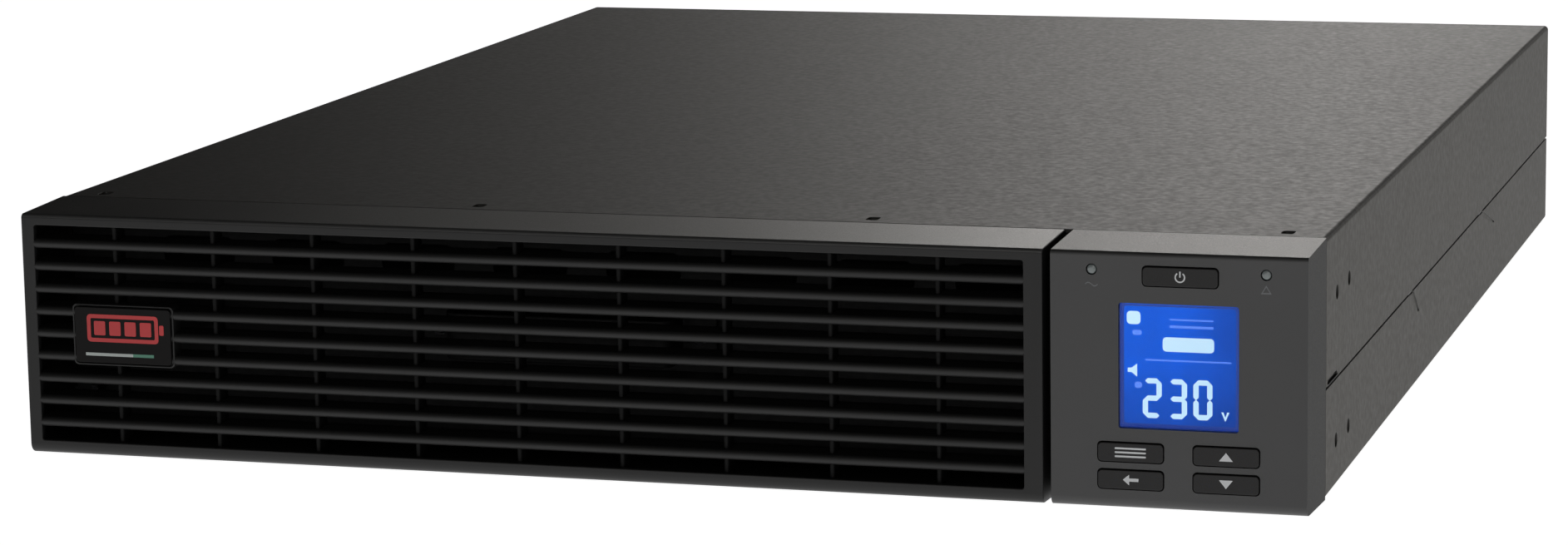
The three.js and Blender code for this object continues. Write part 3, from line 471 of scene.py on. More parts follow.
def turned(name, profile, centre, axis="y", steps=40):
    """A round piece from (radius, along) points. The centre is the other two axes' numbers."""
    bm = bmesh.new()
    put = AXES[axis]
    shift = Vector(put(*centre, 0))
    rings = [
        [
            bm.verts.new((Vector(put(a, b, along)) + shift) * MM)
            for a, b in (circle((0, 0), radius, steps) if radius else [(0, 0)])
        ]
        for radius, along in profile
    ]
    for low, high in zip(rings, rings[1:]):
        for i in range(steps):
            j = (i + 1) % steps
            pairs = ((low, i), (low, j), (high, j), (high, i))
            corners = [points[k % len(points)] for points, k in pairs]
            bm.faces.new(list(dict.fromkeys(corners)))
    return object_from(name, bm)


def joined(name, *objects):
    """Several objects' meshes as one, without changing their shapes."""
    bm = bmesh.new()
    for obj in objects:
        bm.from_mesh(obj.data)
        bpy.data.objects.remove(obj)
    return object_from(name, bm)


def settle(obj):
    """Turns an object's modifiers into its mesh."""
    bpy.context.view_layer.update()
    evaluated = obj.evaluated_get(bpy.context.evaluated_depsgraph_get())
    mesh = bpy.data.meshes.new_from_object(evaluated)
    obj.modifiers.clear()
    obj.data = mesh


def cut(obj, *cutters, operation="DIFFERENCE"):
    """Cuts each cutter out of the object, or adds it, and removes the cutter."""
    for cutter in cutters:
        modifier = obj.modifiers.new("cut", "BOOLEAN")
        modifier.operation = operation
        modifier.solver = "EXACT"
        modifier.object = cutter
    settle(obj)
    for cutter in cutters:
        bpy.data.objects.remove(cutter)
    return obj


def soften(obj, width, segments=2, angle=35):
    """Rounds the sharp edges, by a width in millimetres, and smooths the shading between them."""
    for polygon in obj.data.polygons:
        polygon.use_smooth = True
    modifier = obj.modifiers.new("edges", "BEVEL")
    modifier.width = width * MM
    modifier.segments = segments
    modifier.limit_method = "ANGLE"
    modifier.angle_limit = math.radians(angle)
    modifier.miter_outer = "MITER_ARC"
    flat = obj.modifiers.new("flat_faces", "WEIGHTED_NORMAL")
    flat.mode = "FACE_AREA"
    flat.weight = 80
    return obj


def dress(obj, material, body="chassis", replaces=()):
    """Gives a finished piece its material and the body that it moves with."""
    obj.data.materials.clear()
    obj.data.materials.append(material)
    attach(obj, body)
    if replaces:
        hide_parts(*replaces)


def coat_faces(obj, material, chosen):
    """Gives the faces for which the test holds a material of their own."""
    obj.data.materials.append(material)
    for polygon in obj.data.polygons:
        if chosen(polygon):
            polygon.material_index = 1


def faces_sideways(polygon):
    return abs(polygon.normal.x) > 0.9


# ---- Palette ------------------------------------------------------------------------------------
CASE = powder_coat("case_powder_coat", (0.026, 0.0255, 0.0235), 0.5)
# A lighter, warmer and rougher copy of the case coat for the faces that face sideways: tone painted
# for how the light falls on the sides.
CASE_SIDE_PAINTED_LIGHT = powder_coat("case_side_painted_light_coat", (0.033, 0.029, 0.022), 0.6)
GRILLE = moulded("grille_moulding", (0.008, 0.008, 0.008), 0.47, gloss=0.0, sheen=1.0)
# A far paler, glossier copy of the grille moulding for its top and the rounding in front of it: a
# painted highlight along the top.
GRILLE_TOP_PAINTED_LIGHT = moulded("grille_top_painted_light", (0.04, 0.04, 0.04), 0.4, gloss=0.95)
# A darker copy of the grille moulding without its sheen, for the ribs: painted shade between the
# louvres.
GRILLE_RIB_PAINTED_SHADE = moulded("grille_rib_painted_shade", (0.003, 0.003, 0.003), 0.6, gloss=0.15)
PANEL = moulded("panel_moulding", (0.037, 0.037, 0.0375), 0.43)
# A darker, less glossy copy of the panel moulding for the panel's sideways faces: painted shade for
# how the light falls on its sides.
PANEL_SIDE_PAINTED_SHADE = moulded("panel_side_painted_shade", (0.034, 0.034, 0.0335), 0.7, gloss=0.3)
KEY = moulded("key_plastic", (0.0065, 0.006, 0.006), 0.32, 4000, 0.000004, 0.3)
BADGE_BLACK = moulded("badge_plastic", (0.004, 0.0035, 0.0035), 0.4, 4000, 0.000004, 0.12)
LABEL = moulded("blank_label", (0.42, 0.43, 0.45), 0.4, 900, 0.000002)
CONNECTOR = moulded("connector_plastic", (0.018, 0.018, 0.02), 0.4, 2000, 0.000006)
# The tray's black coat, made near-black as painted shade so that the louvre slots in front of it
# read dark; the pull handle shares it.
TRAY = powder_coat("tray_black_coat_painted_shade", (0.004, 0.004, 0.004), 0.6, 0.2)
PRINT = moulded("pale_print", (0.5, 0.51, 0.52), 0.5, 5000, 0.000002)
DIM_PRINT = moulded("dim_print", (0.1, 0.105, 0.11), 0.5, 5000, 0.000002)
RED_PRINT = moulded("red_print", (0.42, 0.018, 0.02), 0.35, 5000, 0.000002)
GREEN_PRINT = moulded("green_print", (0.06, 0.19, 0.13), 0.4, 5000, 0.000002)
SILVER_PRINT = moulded("silver_print", (0.34, 0.37, 0.36), 0.35, 5000, 0.000002)
BLACK = moulded("black_plastic", (0.012, 0.012, 0.0125), 0.42)
FAN_BLACK = moulded("fan_plastic", (0.014, 0.014, 0.015), 0.36, 1500, 0.000006)
LENS = moulded("lens_plastic", (0.16, 0.18, 0.18), 0.15, 3000, 0.000002)
# A black sheet laid behind the tray's vents: painted shade.
VENT_SHADE = moulded("vent_painted_shade_sheet", (0.003, 0.003, 0.003), 0.9, 700, 0.0003, 0.0)
BATTERY = moulded("battery_case", (0.085, 0.087, 0.092), 0.45, 1400, 0.00002)
BATTERY_LID = moulded("battery_lid", (0.05, 0.052, 0.056), 0.5, 1400, 0.00002)
GREEN_PLASTIC = moulded("terminal_plastic", (0.02, 0.2, 0.06), 0.4)
ZINC = metal("zinc_plate", (0.42, 0.42, 0.435), 0.3)
BRASS = metal("contact_metal", (0.62, 0.5, 0.26), 0.25)
BLACK_STEEL = metal("black_screw", (0.07, 0.07, 0.073), 0.4)
DARK_NICKEL = metal("black_nickel", (0.05, 0.05, 0.052), 0.3)
ALUMINIUM = metal("extruded_aluminium", (0.62, 0.63, 0.65), 0.34, (1600, 30, 1600))
SLEEVE = moulded("capacitor_sleeve", (0.012, 0.024, 0.1), 0.25, 800, 0.000004)
BOARD = circuit_board("solder_mask", (0.015, 0.085, 0.035))
COPPER = winding("copper_winding", (0.48, 0.17, 0.06))
CORE = metal("ferrite_core", (0.05, 0.05, 0.052), 0.5)
RED_CABLE = cable_jacket("red_cable", (0.42, 0.015, 0.012))
BLACK_CABLE = cable_jacket("black_cable", (0.01, 0.01, 0.011))
RIBBON = cable_jacket("ribbon_cable", (0.36, 0.37, 0.39))
SCREEN_EDGE = glowing("screen_edge", (0.004, 0.035, 0.3), 0.8)
SEGMENT = glowing("lit_segment", (0.55, 0.8, 1.0), 0.95, 0.05)
FAINT_SEGMENT = glowing("faint_segment", (0.1, 0.26, 0.98), 0.85, 0.05)
WINDOW = display_window("clear_window")


# ---- Steel case ---------------------------------------------------------------------------------
SHEET = 1.2
BEND = 1.8
COVER = node_box("top_cover")
BASE = node_box("chassis_base")
SIDE = COVER[0][1]
ACROSS = (-SIDE - 2, SIDE + 2)
EAR_HOLES = ((-245.8, 64), (-222.6, 64.5), (-246.5, 15.5), (-222.6, 15.3))
EAR_HOLE_RADIUS = 2.4
COVER_SLOTS_X, COVER_SLOT_Y = (-206.5, -69.4, 67.9, 205.3), -258.5
COVER_SLOT_SIZE, COVER_SLOT_ROUND = (4, 6), 1.2
GROOVE_FOOT, GROOVE_DEPTH = 26, 0.5
GROOVE_WIDE, GROOVE_NARROW = 5, 1.2
GROOVES = ((-90, -71), (87, 128))
SEAM = (35.6, COVER[2][0])
SKIRT_STEP = (-246, -242)
POSTS = (
    (-190, 86), (-190, 250), (110, 86), (110, 250), (146, -236), (208, -236), (146, 36), (208, 36),
)


def channel_outline(height, flip):
    """A U of bent sheet as (x, z), open at the top, or at the bottom when flipped."""
    inner = SIDE - SHEET
    steps, tight_steps = 6, 3
    left, right = (BEND - SIDE, BEND), (SIDE - BEND, BEND)
    outer = [(-SIDE, height)] + arc(left, BEND, 180, 270, steps) + arc(right, BEND, -90, 0, steps)
    fillet = BEND - SHEET
    inside = arc(right, fillet, 0, -90, tight_steps) + arc(left, fillet, 270, 180, tight_steps)
    points = outer + [(SIDE, height), (inner, height)] + inside + [(-inner, height)]
    return [(x, flip - z) for x, z in points] if flip else points


def ear_hole_cutters():
    return [prism("hole", circle(place, EAR_HOLE_RADIUS), "x", ACROSS) for place in EAR_HOLES]


def make_cover():
    """The cover, with slots near its front edge and its skirt raised at the front."""
    top = COVER[2][1]
    cover = prism("case_cover", channel_outline(top - SEAM[1], top), "y", COVER[1])
    along = around(COVER_SLOT_Y, COVER_SLOT_SIZE[1])
    slots = [
        rounded_outline(around(x, COVER_SLOT_SIZE[0]), along, COVER_SLOT_ROUND)
        for x in COVER_SLOTS_X
    ]
    slots = [prism("slot", outline, "z", around(top, 10)) for outline in slots]
    front, below, raised = COVER[1][0] + 3, SEAM[0] - 5.6, SEAM[1] + 2
    start, end = SKIRT_STEP
    notch = [(front, below), (front, raised), (start, raised), (end, SEAM[1] - 0.5), (end, below)]
    cut(cover, *slots, prism("notch", notch, "x", ACROSS), *ear_hole_cutters())
    dress(soften(cover, 0.22), CASE, replaces=["top_cover"])
    # The cover's sides get the copy of the coat with painted light.
    coat_faces(cover, CASE_SIDE_PAINTED_LIGHT, faces_sideways)


def groove_cutters():
    """Shallow tapered grooves pressed into both sides below the seam."""
    cutters = []
    high = SEAM[0] + 1
    for top, foot in GROOVES:
        outline = [(top - GROOVE_WIDE, high), (top + GROOVE_WIDE, high)]
        outline += [(foot + GROOVE_NARROW, GROOVE_FOOT), (foot - GROOVE_NARROW, GROOVE_FOOT)]
        for span in ((ACROSS[0], GROOVE_DEPTH - SIDE), (SIDE - GROOVE_DEPTH, ACROSS[1])):
            cutters.append(prism("groove", outline, "x", span))
    return cutters


def make_base():
    """The base, with the strips that stand behind the cover's skirt, the flange for a thumbscrew
    and the posts under the boards."""
    front, back = BASE[1]
    base = prism("case_base", channel_outline(SEAM[0], 0), "y", BASE[1])
    cut(base, *groove_cutters(), *ear_hole_cutters())
    dress(soften(base, 0.18), CASE, replaces=["chassis_base"])
    # The base's sides get the copy of the coat with painted light.
    coat_faces(base, CASE_SIDE_PAINTED_LIGHT, faces_sideways)
    wall = SIDE - SHEET
    inner = wall - CLEARANCE
    strips = []
    for side in (-1, 1):
        behind = rectangle((side * inner, side * (inner - SHEET)), (SEAM[0] - 6, SEAM[0] + 7))
        strips.append((behind, "y", (front + 6, back - 3.4)))
        shoulder_x = (side * wall, side * (SIDE - GROOVE_DEPTH))
        shoulder = rectangle(shoulder_x, (SEAM[0] - 1, SEAM[1] - CLEARANCE))
        strips.append((shoulder, "y", (front + 6, back - CLEARANCE)))
    dress(soften(prisms("seam_strips", strips), 0.12), CASE)
    flange_x, flange_z = (-SIDE + SHEET - 0.6, -205.5), (SHEET / 2, SEAM[0] - 8)
    flange = block("base_flange", flange_x, (-262.4, -261.2), flange_z)
    cut(flange, hole((-210.5, 19), 2.4, (-264, -260)))
    dress(soften(flange, 0.15), CASE)
    post_z = (SHEET - 0.2, node_box("power_board")[2][0] - CLEARANCE)
    posts = prisms("board_posts", [(circle(place, 3), "z", post_z) for place in POSTS])
    dress(soften(posts, 0.3), ZINC)


# ---- Moulded front ------------------------------------------------------------------------------
GRILLE_BOX = node_box("front_grille")
PANEL_BOX = node_box("control_panel")
FACE, BACK = PANEL_BOX[1]
TOP, TOP_DROP, BOTTOM_RISE = PANEL_BOX[2][1], 1.0, 1.5
TOP_ROUND, BOTTOM_ROUND = 1.5, 3.5
WALL = 2.2
FACE_THICK = 2.5
THROUGH_FACE = (FACE - 2, FACE + FACE_THICK + 1)
OPENING_X, OPENING_Z = (-214.5, 128), (6.4, 80.2)
SLOT_PITCH, FIRST_SLOT_Z, SLAT_COUNT = 7.66, 8.8, 9
SLAT_HEIGHT, SLAT_DEPTH, SLAT_LEAN, SLAT_BACK = 3.4, 12, 0.8, 1.8
RIB_COUNT, RIB_PITCH, RIB_THICK = 9, 35.7, 1.6
RIB_RUN = (FACE + 2.2, FACE + 9.7)


def moulding(name, span):
    """A front moulding, open at the back. Its top and bottom close in towards the face."""
    top, low = TOP - TOP_DROP, BOTTOM_RISE
    side_view = [(BACK, TOP)]
    side_view += arc((FACE + TOP_ROUND, top - TOP_ROUND), TOP_ROUND, 90, 180, 6)
    side_view += arc((FACE + BOTTOM_ROUND, low + BOTTOM_ROUND), BOTTOM_ROUND, 180, 270, 8)
    side_view += [(BACK, 0)]
    cavity = rectangle((FACE + FACE_THICK, BACK + 1), (low + WALL, top - WALL))
    shell = prism(name, side_view, "x", span)
    return cut(shell, prism("cavity", cavity, "x", grown(span, -WALL)))


def on_top(polygon):
    """Whether a face belongs to the moulding's top or the rounding in front of it."""
    return polygon.normal.z > 0.3 and polygon.center.z > (TOP - 3) * MM


def slat_outline(z):
    """A louvre from the side: a round nose that thins and rises towards its tail."""
    radius = SLAT_HEIGHT / 2
    tail, low = FACE + SLAT_DEPTH, z + SLAT_LEAN - SLAT_BACK / 2
    nose = arc((FACE + radius, z), radius, 90, 270, 10)
    return nose + [(tail, low), (tail, z + SLAT_LEAN + SLAT_BACK / 2)]


def make_grille():
    """The louvred front: frame, louvres, and the upright ribs behind the louvres' noses."""
    shell = moulding("grille_frame", GRILLE_BOX[0])
    cut(shell, plate("opening", OPENING_X, OPENING_Z, 0.8, THROUGH_FACE))
    dress(soften(shell, 0.45, 3), GRILLE, "grille", ["front_grille"])
    # The top and its front rounding get the paler copy, a painted highlight.
    coat_faces(shell, GRILLE_TOP_PAINTED_LIGHT, on_top)
    slats = prisms("grille_louvres", [
        (slat_outline(FIRST_SLOT_Z + (i + 0.5) * SLOT_PITCH), "x", grown(OPENING_X, 1))
        for i in range(SLAT_COUNT)
    ])
    dress(soften(slats, 0.12), GRILLE, "grille")
    first = middle(OPENING_X) - RIB_PITCH * (RIB_COUNT - 1) / 2
    ribs = []
    for i in range(RIB_COUNT):
        outline = rounded_outline(around(first + i * RIB_PITCH, RIB_THICK), RIB_RUN, 0.7, 3)
        ribs.append((outline, "z", grown(OPENING_Z, 2)))
    # The ribs get the darker copy of the moulding, painted shade.
    dress(prisms("grille_ribs", ribs), GRILLE_RIB_PAINTED_SHADE, "grille")


def make_badge():
    """A black plate in a moulded pocket, with a generic battery mark and a thin line under it."""
    x, y, z = node_box("badge")
    pad = plate("badge_pad", grown(x, 1), grown(z, 1), 1.6, (FACE, FACE + 6))
    pocket_x, pocket_z = grown(x, CLEARANCE), grown(z, CLEARANCE)
    cut(pad, plate("pocket", pocket_x, pocket_z, 1.2, (y[0] - 1, y[1] + CLEARANCE)))
    dress(soften(pad, 0.3), GRILLE, "grille")
    tile = plate("badge_plate", x, z, 1.1, (y[0] + 0.1, y[1]))
    dress(soften(tile, 0.25), BADGE_BLACK, "grille", ["badge"])
    ink = (y[0] + 0.02, y[0] + 0.3)
    body_x, body_z = (x[0] + 4.5, x[1] - 4.4), (z[0] + 7.2, z[1] - 2.4)
    rim = plate("rim", body_x, body_z, 1.3, ink)
    cut(rim, plate("window", grown(body_x, -1.3), grown(body_z, -1.3), 0.5, grown(ink, 1)))
    cells = [(around(body_x[0] + 4.6 + i * 5.6, 4.1), grown(body_z, -2.3)) for i in range(4)]
    nub = ((body_x[1] + 0.4, body_x[1] + 2), around(middle(body_z), 3.4))
    inside = prisms("cells", [(rounded_outline(*cell, 0.4, 3), "y", ink) for cell in [*cells, nub]])
    dress(joined("badge_mark", rim, inside), RED_PRINT, "grille")
    line_z = (z[0] + 2.4, z[0] + 3.4)
    split = x[0] + 21
    for name, line_x, material in (
        ("badge_line", (x[0] + 3.7, split), SILVER_PRINT),
        ("badge_line_end", (split, split + 7.6), GREEN_PRINT),
    ):
        dress(prism(name, rectangle(line_x, line_z), "y", ink), material, "grille")


# ---- Control panel ------------------------------------------------------------------------------
KEY_NAMES = ("power_button", "menu_button", "back_button", "up_button", "down_button")
LIGHT_NAMES = ("online_light", "fault_light")
LIGHT_MARK_Z = 73.6
KEY_FLANGE = 1.2
WINDOW_BOX = node_box("lcd_window")
MODULE_BOX = node_box("lcd_module")


def key_spans(name):
    x, _, z = node_box(name)
    return grown(x, -KEY_FLANGE), grown(z, -KEY_FLANGE)


def fitted(x, z, radius):
    """The outline of an opening round a piece."""
    return rounded_outline(grown(x, CLEARANCE), grown(z, CLEARANCE), radius)


def make_control_panel():
    panel = moulding("panel_shell", PANEL_BOX[0])
    outlines = [fitted(*key_spans(name), 1.5) for name in KEY_NAMES]
    outlines += [circle(centre_of(name), 1.8) for name in LIGHT_NAMES]
    outlines.append(fitted(WINDOW_BOX[0], WINDOW_BOX[2], 0.9))
    cut(panel, *(prism("opening", outline, "y", THROUGH_FACE) for outline in outlines))
    dress(soften(panel, 0.35, 3), PANEL, replaces=["control_panel"])
    # The panel's sides get the darker copy of the moulding, painted shade.
    coat_faces(panel, PANEL_SIDE_PAINTED_SHADE, faces_sideways)


def print_mark(name, outlines, ink, body="chassis", material=None):
    mark = prisms(name, [(outline, "y", ink) for outline in outlines])
    dress(mark, material or PRINT, body)


def power_outlines():
    """A ring that is open at the top, with a bar in the gap."""
    loop = arc((0, 0), 1.7, 125, 415, 28) + arc((0, 0), 1.28, 415, 125, 28)
    return [loop, rectangle(around(0, 0.42), (0, 1.9))]


def triangle(width, height):
    return [(-width / 2, -height / 2), (width / 2, -height / 2), (0, height / 2)]


MENU_MARK = [rounded_outline(around(0, 10), around(z, 0.55), 0.2, 2) for z in (-1.3, 0, 1.3)]
ARROW = [(-2.4, 0), (-0.4, 1.7), (-0.4, 0.5), (2.6, 0.5), (2.6, -0.5), (-0.4, -0.5), (-0.4, -1.7)]
KEY_MARKS = (power_outlines(), MENU_MARK, [ARROW], [triangle(4.4, 2.7)], [triangle(4.4, -2.7)])


def make_keys():
    """Key caps with rounded edges on their flanges, each with a printed mark."""
    for name, outlines in zip(KEY_NAMES, KEY_MARKS):
        (x, z), y = key_spans(name), node_box(name)[1]
        body = name.replace("button", "key")
        cap = prism("cap", rounded_outline(x, z, 1.3, 6), "y", (y[0] + 0.1, y[1] - 0.6))
        flange_x, flange_z = grown(x, KEY_FLANGE), grown(z, KEY_FLANGE)
        flange = plate("flange", flange_x, flange_z, 1.5, (y[1] - 1.2, y[1]))
        cap = soften(joined(f"{name}_cap", cap, flange), 0.4, 4)
        dress(cap, KEY, body, [name])
        outlines = [shifted(outline, middle(x), middle(z)) for outline in outlines]
        mark = name.replace("button", "symbol")
        print_mark(mark, outlines, (y[0] + 0.03, y[0] + 0.3), body)


def make_lights():
    """The two indicator lenses, with a wave and a triangle printed under them."""
    for name in LIGHT_NAMES:
        start, end = node_box(name)[1]
        profile = [(0, start), (0.7, start + 0.06), (1.25, start + 0.3), (1.5, start + 0.7)]
        profile += [(1.5, end), (0, end)]
        lens = turned(f"{name}_lens", profile, centre_of(name), steps=28)
        dress(lens, LENS, replaces=[name])
    ink = (FACE - 0.04, FACE + 0.2)
    x = centre_of("online_light")[0]
    points = 16
    wave = [
        (x - 2 + 4 * i / points, LIGHT_MARK_Z + 0.55 * math.sin(2 * math.pi * i / points))
        for i in range(points + 1)
    ]
    wave += [(a, b - 0.35) for a, b in wave[::-1]]
    print_mark("online_symbol", [wave], ink, material=DIM_PRINT)
    x = centre_of("fault_light")[0]
    outer = shifted(triangle(3.4, 2.8), x, LIGHT_MARK_Z)
    inner = shifted(triangle(2.2, 1.75), x, LIGHT_MARK_Z - 0.1)
    sides = [[outer[i], outer[j], inner[j], inner[i]] for i, j in ((0, 1), (1, 2), (2, 0))]
    print_mark("fault_symbol", sides, ink, material=DIM_PRINT)


# ---- Display ------------------------------------------------------------------------------------
READING = "230"
SEGMENTS = {"0": "abcdef", "2": "abged", "3": "abgcd"}
DIGIT_WIDTH, DIGIT_HEIGHT, DIGIT_PITCH = 6.1, 12.8, 8.1
SEGMENT_WIDTH, SEGMENT_GAP = 1.7, 0.75
SPEAKER = [(-1.8, -0.7), (-1.8, 0.7), (-0.6, 0.7), (1.2, 2.1), (1.2, -2.1), (-0.6, -0.7)]
UNIT_MARK = [(-1.3, 1.5), (0, -1.5), (1.3, 1.5), (0.6, 1.5), (0, -0.2), (-0.6, 1.5)]


def bar(start, end, width):
    """A display segment: a bar between two points with pointed ends."""
    along = (end - start).normalized()
    side = Vector((-along.y, along.x)) * width / 2
    tip = along * width / 2
    points = (start - tip, start + side, end + side, end + tip, end - side, start - side)
    return [tuple(p) for p in points]


def digit_outlines(character, x, z):
    """Seven-segment bars of one digit whose lower left corner is at x, z."""
    left, low = x + SEGMENT_WIDTH / 2, z + SEGMENT_WIDTH / 2
    right, high = left + DIGIT_WIDTH - SEGMENT_WIDTH, low + DIGIT_HEIGHT - SEGMENT_WIDTH
    mid = low + (DIGIT_HEIGHT - SEGMENT_WIDTH) * 0.5
    ends = {
        "a": ((left, high), (right, high)),
        "b": ((right, mid), (right, high)),
        "c": ((right, low), (right, mid)),
        "d": ((left, low), (right, low)),
        "e": ((left, low), (left, mid)),
        "f": ((left, mid), (left, high)),
        "g": ((left, mid), (right, mid)),
    }
    outlines = []
    for name in SEGMENTS[character]:
        start, end = (Vector(p) for p in ends[name])
        gap = (end - start).normalized() * SEGMENT_GAP
        outlines.append(bar(start + gap, end - gap, SEGMENT_WIDTH))
    return outlines


def make_display():
    """The module, its backlight, the lit and faint marks, and the window in front of them."""
    (x0, x1), _, (z0, z1) = WINDOW_BOX
    back = MODULE_BOX[1]
    module = plate("display_module", MODULE_BOX[0], MODULE_BOX[2], 0.8, back)
    dress(soften(module, 0.2), SCREEN_EDGE, replaces=["lcd_module"])
    glow = (back[0] - 0.12, back[0] + 0.1)
    ink = (glow[0] - 0.06, glow[0] + 0.05)
    left, right, low, high = x0 + 1, x1 - 1, z0 + 1, z1 - 1
    dim_x, dim_z = (middle((x0, x1)), x1), (z0, middle((z0, z1)))
    screen = backlight("screen_blue", (0.002, 0.12, 0.86), 0.82, dim_x, dim_z)
    dress(plate("display_backlight", (left, right), (low, high), 0.8, glow), screen)
    lit = [
        rounded_outline((left + 0.9, left + 5.3), (high - 5.8, high - 1.6), 1.2, 4),
        rounded_outline((left + 12.4, left + 28.8), (high - 14.2, high - 9.6), 1.2, 4),
    ]
    for i, character in enumerate(READING):
        lit += digit_outlines(character, left + 6.0 + i * DIGIT_PITCH, low + 1.9)
    lit.append(shifted(SPEAKER, left + 3.0, high - 20.5))
    lit.append(shifted(UNIT_MARK, right - 3.4, low + 3.2))
    dress(prisms("display_segments", [(o, "y", ink) for o in lit]), SEGMENT)
    faint = [
        rectangle((left + 6.8, right - 1.5), (high - 17.3, high - 16.8)),
        rectangle((left + 14.6, left + 28.6), (high - 6.6, high - 5.8)),
        rectangle((left + 14.6, left + 28.6), (high - 4.2, high - 3.7)),
        rounded_outline(around(left + 4.6, 2.4), around(high - 25.2, 2.0), 0.8, 3),
        rounded_outline(around(left + 4.2, 3.0), around(high - 8.4, 1.6), 0.6, 3),
    ]
    dress(prisms("display_faint_marks", [(o, "y", ink) for o in faint]), FAINT_SEGMENT)
    window = plate("display_window", WINDOW_BOX[0], WINDOW_BOX[2], 0.9, WINDOW_BOX[1])
    dress(soften(window, 0.2), WINDOW, replaces=["lcd_window"])


# ---- Wires, sheet and small hardware ------------------------------------------------------------
def rounded_route(points, bend, steps=6):
    """The route through the given corners, with each corner rounded off over the given length."""
    route = [Vector(points[0])]
    for before, corner, after in zip(points, points[1:], points[2:]):
        corner = Vector(corner)
        start = corner + (Vector(before) - corner).normalized() * bend
        end = corner + (Vector(after) - corner).normalized() * bend
        for i in range(steps + 1):
            t = i / steps
            route.append(start.lerp(corner, t).lerp(corner.lerp(end, t), t))
    return [*route, Vector(points[-1])]


def tube(name, points, radius, closed=False):
    """A round wire or cable along the given points."""
    curve = bpy.data.curves.new(name, "CURVE")
    curve.dimensions = "3D"
    curve.bevel_depth = radius * MM
    curve.bevel_resolution = 3
    curve.use_fill_caps = True
    spline = curve.splines.new("POLY")
    spline.points.add(len(points) - 1)
    for point, place in zip(spline.points, points):
        point.co = (*(Vector(place) * MM), 1)
    spline.use_cyclic_u = closed
    line = collection_link(bpy.data.objects.new(name, curve))
    bpy.context.view_layer.update()
    mesh = bpy.data.meshes.new_from_object(line)
    bpy.data.objects.remove(line)
    for polygon in mesh.polygons:
        polygon.use_smooth = True
    return collection_link(bpy.data.objects.new(name, mesh))


def ring(centre, radius, y, steps=48):
    return [(x, y, z) for x, z in circle(centre, radius, steps)]


def finish_node(name, material, width):
    """Gives a CAD node that stays in view its material and rounded edges."""
    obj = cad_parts[name]
    for place in obj.material_slots:
        place.material = material
    weld = obj.modifiers.new("weld", "WELD")
    weld.merge_threshold = 0.01 * MM
    soften(obj, width, 2, 40)


def screw_head(name, x, z, seat, radius, height=2.1):
    """A pan head with a cross recess, facing the rear."""
    profile = [
        (0, height),
        (radius * 0.6, height),
        (radius * 0.9, height * 0.75),
        (radius, height * 0.4),
        (radius, 0),
        (radius * 0.5, 0),
        (radius * 0.5, -4),
        (0, -4),
    ]
    head = turned(name, shifted(profile, 0, seat), (x, z), steps=28)
    recess = (seat + height - 0.9, seat + height + 1)
    arms = [
        prism("arm", rectangle(around(x, radius * a), around(z, radius * b)), "y", recess)
        for a, b in ((1.25, 0.3), (0.3, 1.25))
    ]
    return cut(head, *arms)


# ---- Battery tray -------------------------------------------------------------------------------
TRAY_BOX = node_box("battery_tray")
TRAY_SHEET = 1.2
TRAY_FACE = (TRAY_BOX[1][0], TRAY_BOX[1][0] + TRAY_SHEET)
TRAY_X = (-204, 122)
TRAY_WALL_TOP = 30
VENT_SIZE, VENT_Z = 26, (62, 72)
VENTS_X = [-183 + 40 * i for i in range(8)]
PLUG_BOX = node_box("tray_plug")
SOCKET_BOX = node_box("bay_socket")
THUMBSCREWS = ("tray_thumbscrew_left", "tray_thumbscrew_right")


def make_tray():
    """The tray's vented face, a black sheet behind its vents as painted shade, and its pan."""
    x, y, z = TRAY_BOX
    through = grown(TRAY_FACE, 1)
    face = plate("tray_face", x, z, 1.6, TRAY_FACE)
    cutters = [plate("vent", (left, left + VENT_SIZE), VENT_Z, 3, through) for left in VENTS_X]
    cutters += [hole(centre_of(name), 3, through) for name in THUMBSCREWS]
    # The tray's face is near-black: its black coat and painted shade behind the louvres.
    dress(soften(cut(face, *cutters), 0.3), TRAY, "tray", ["battery_tray"])
    # A black sheet behind the vents, painted shade that hides what lies behind them.
    sheet_x = (VENTS_X[0] - 4, VENTS_X[-1] + VENT_SIZE - 0.6)
    sheet_y = (TRAY_FACE[1] + 0.1, TRAY_FACE[1] + 0.9)
    dress(block("vent_shade_sheet", sheet_x, sheet_y, grown(VENT_Z, 4)), VENT_SHADE, "tray")
    pan = block("tray_pan", TRAY_X, (TRAY_FACE[1] - 0.4, y[1]), (z[0], TRAY_WALL_TOP))
    inside_y, inside_z = (TRAY_FACE[0], y[1] - TRAY_SHEET), (z[0] + TRAY_SHEET, TRAY_WALL_TOP + 60)
    inside = block("inside", grown(TRAY_X, -TRAY_SHEET), inside_y, inside_z)
    plug_x, plug_z = grown(PLUG_BOX[0], CLEARANCE), grown(PLUG_BOX[2], CLEARANCE)
    cut(pan, inside, block("plug", plug_x, (y[1] - 4, y[1] + 4), plug_z))
    dress(soften(pan, 0.3), CASE, "tray")


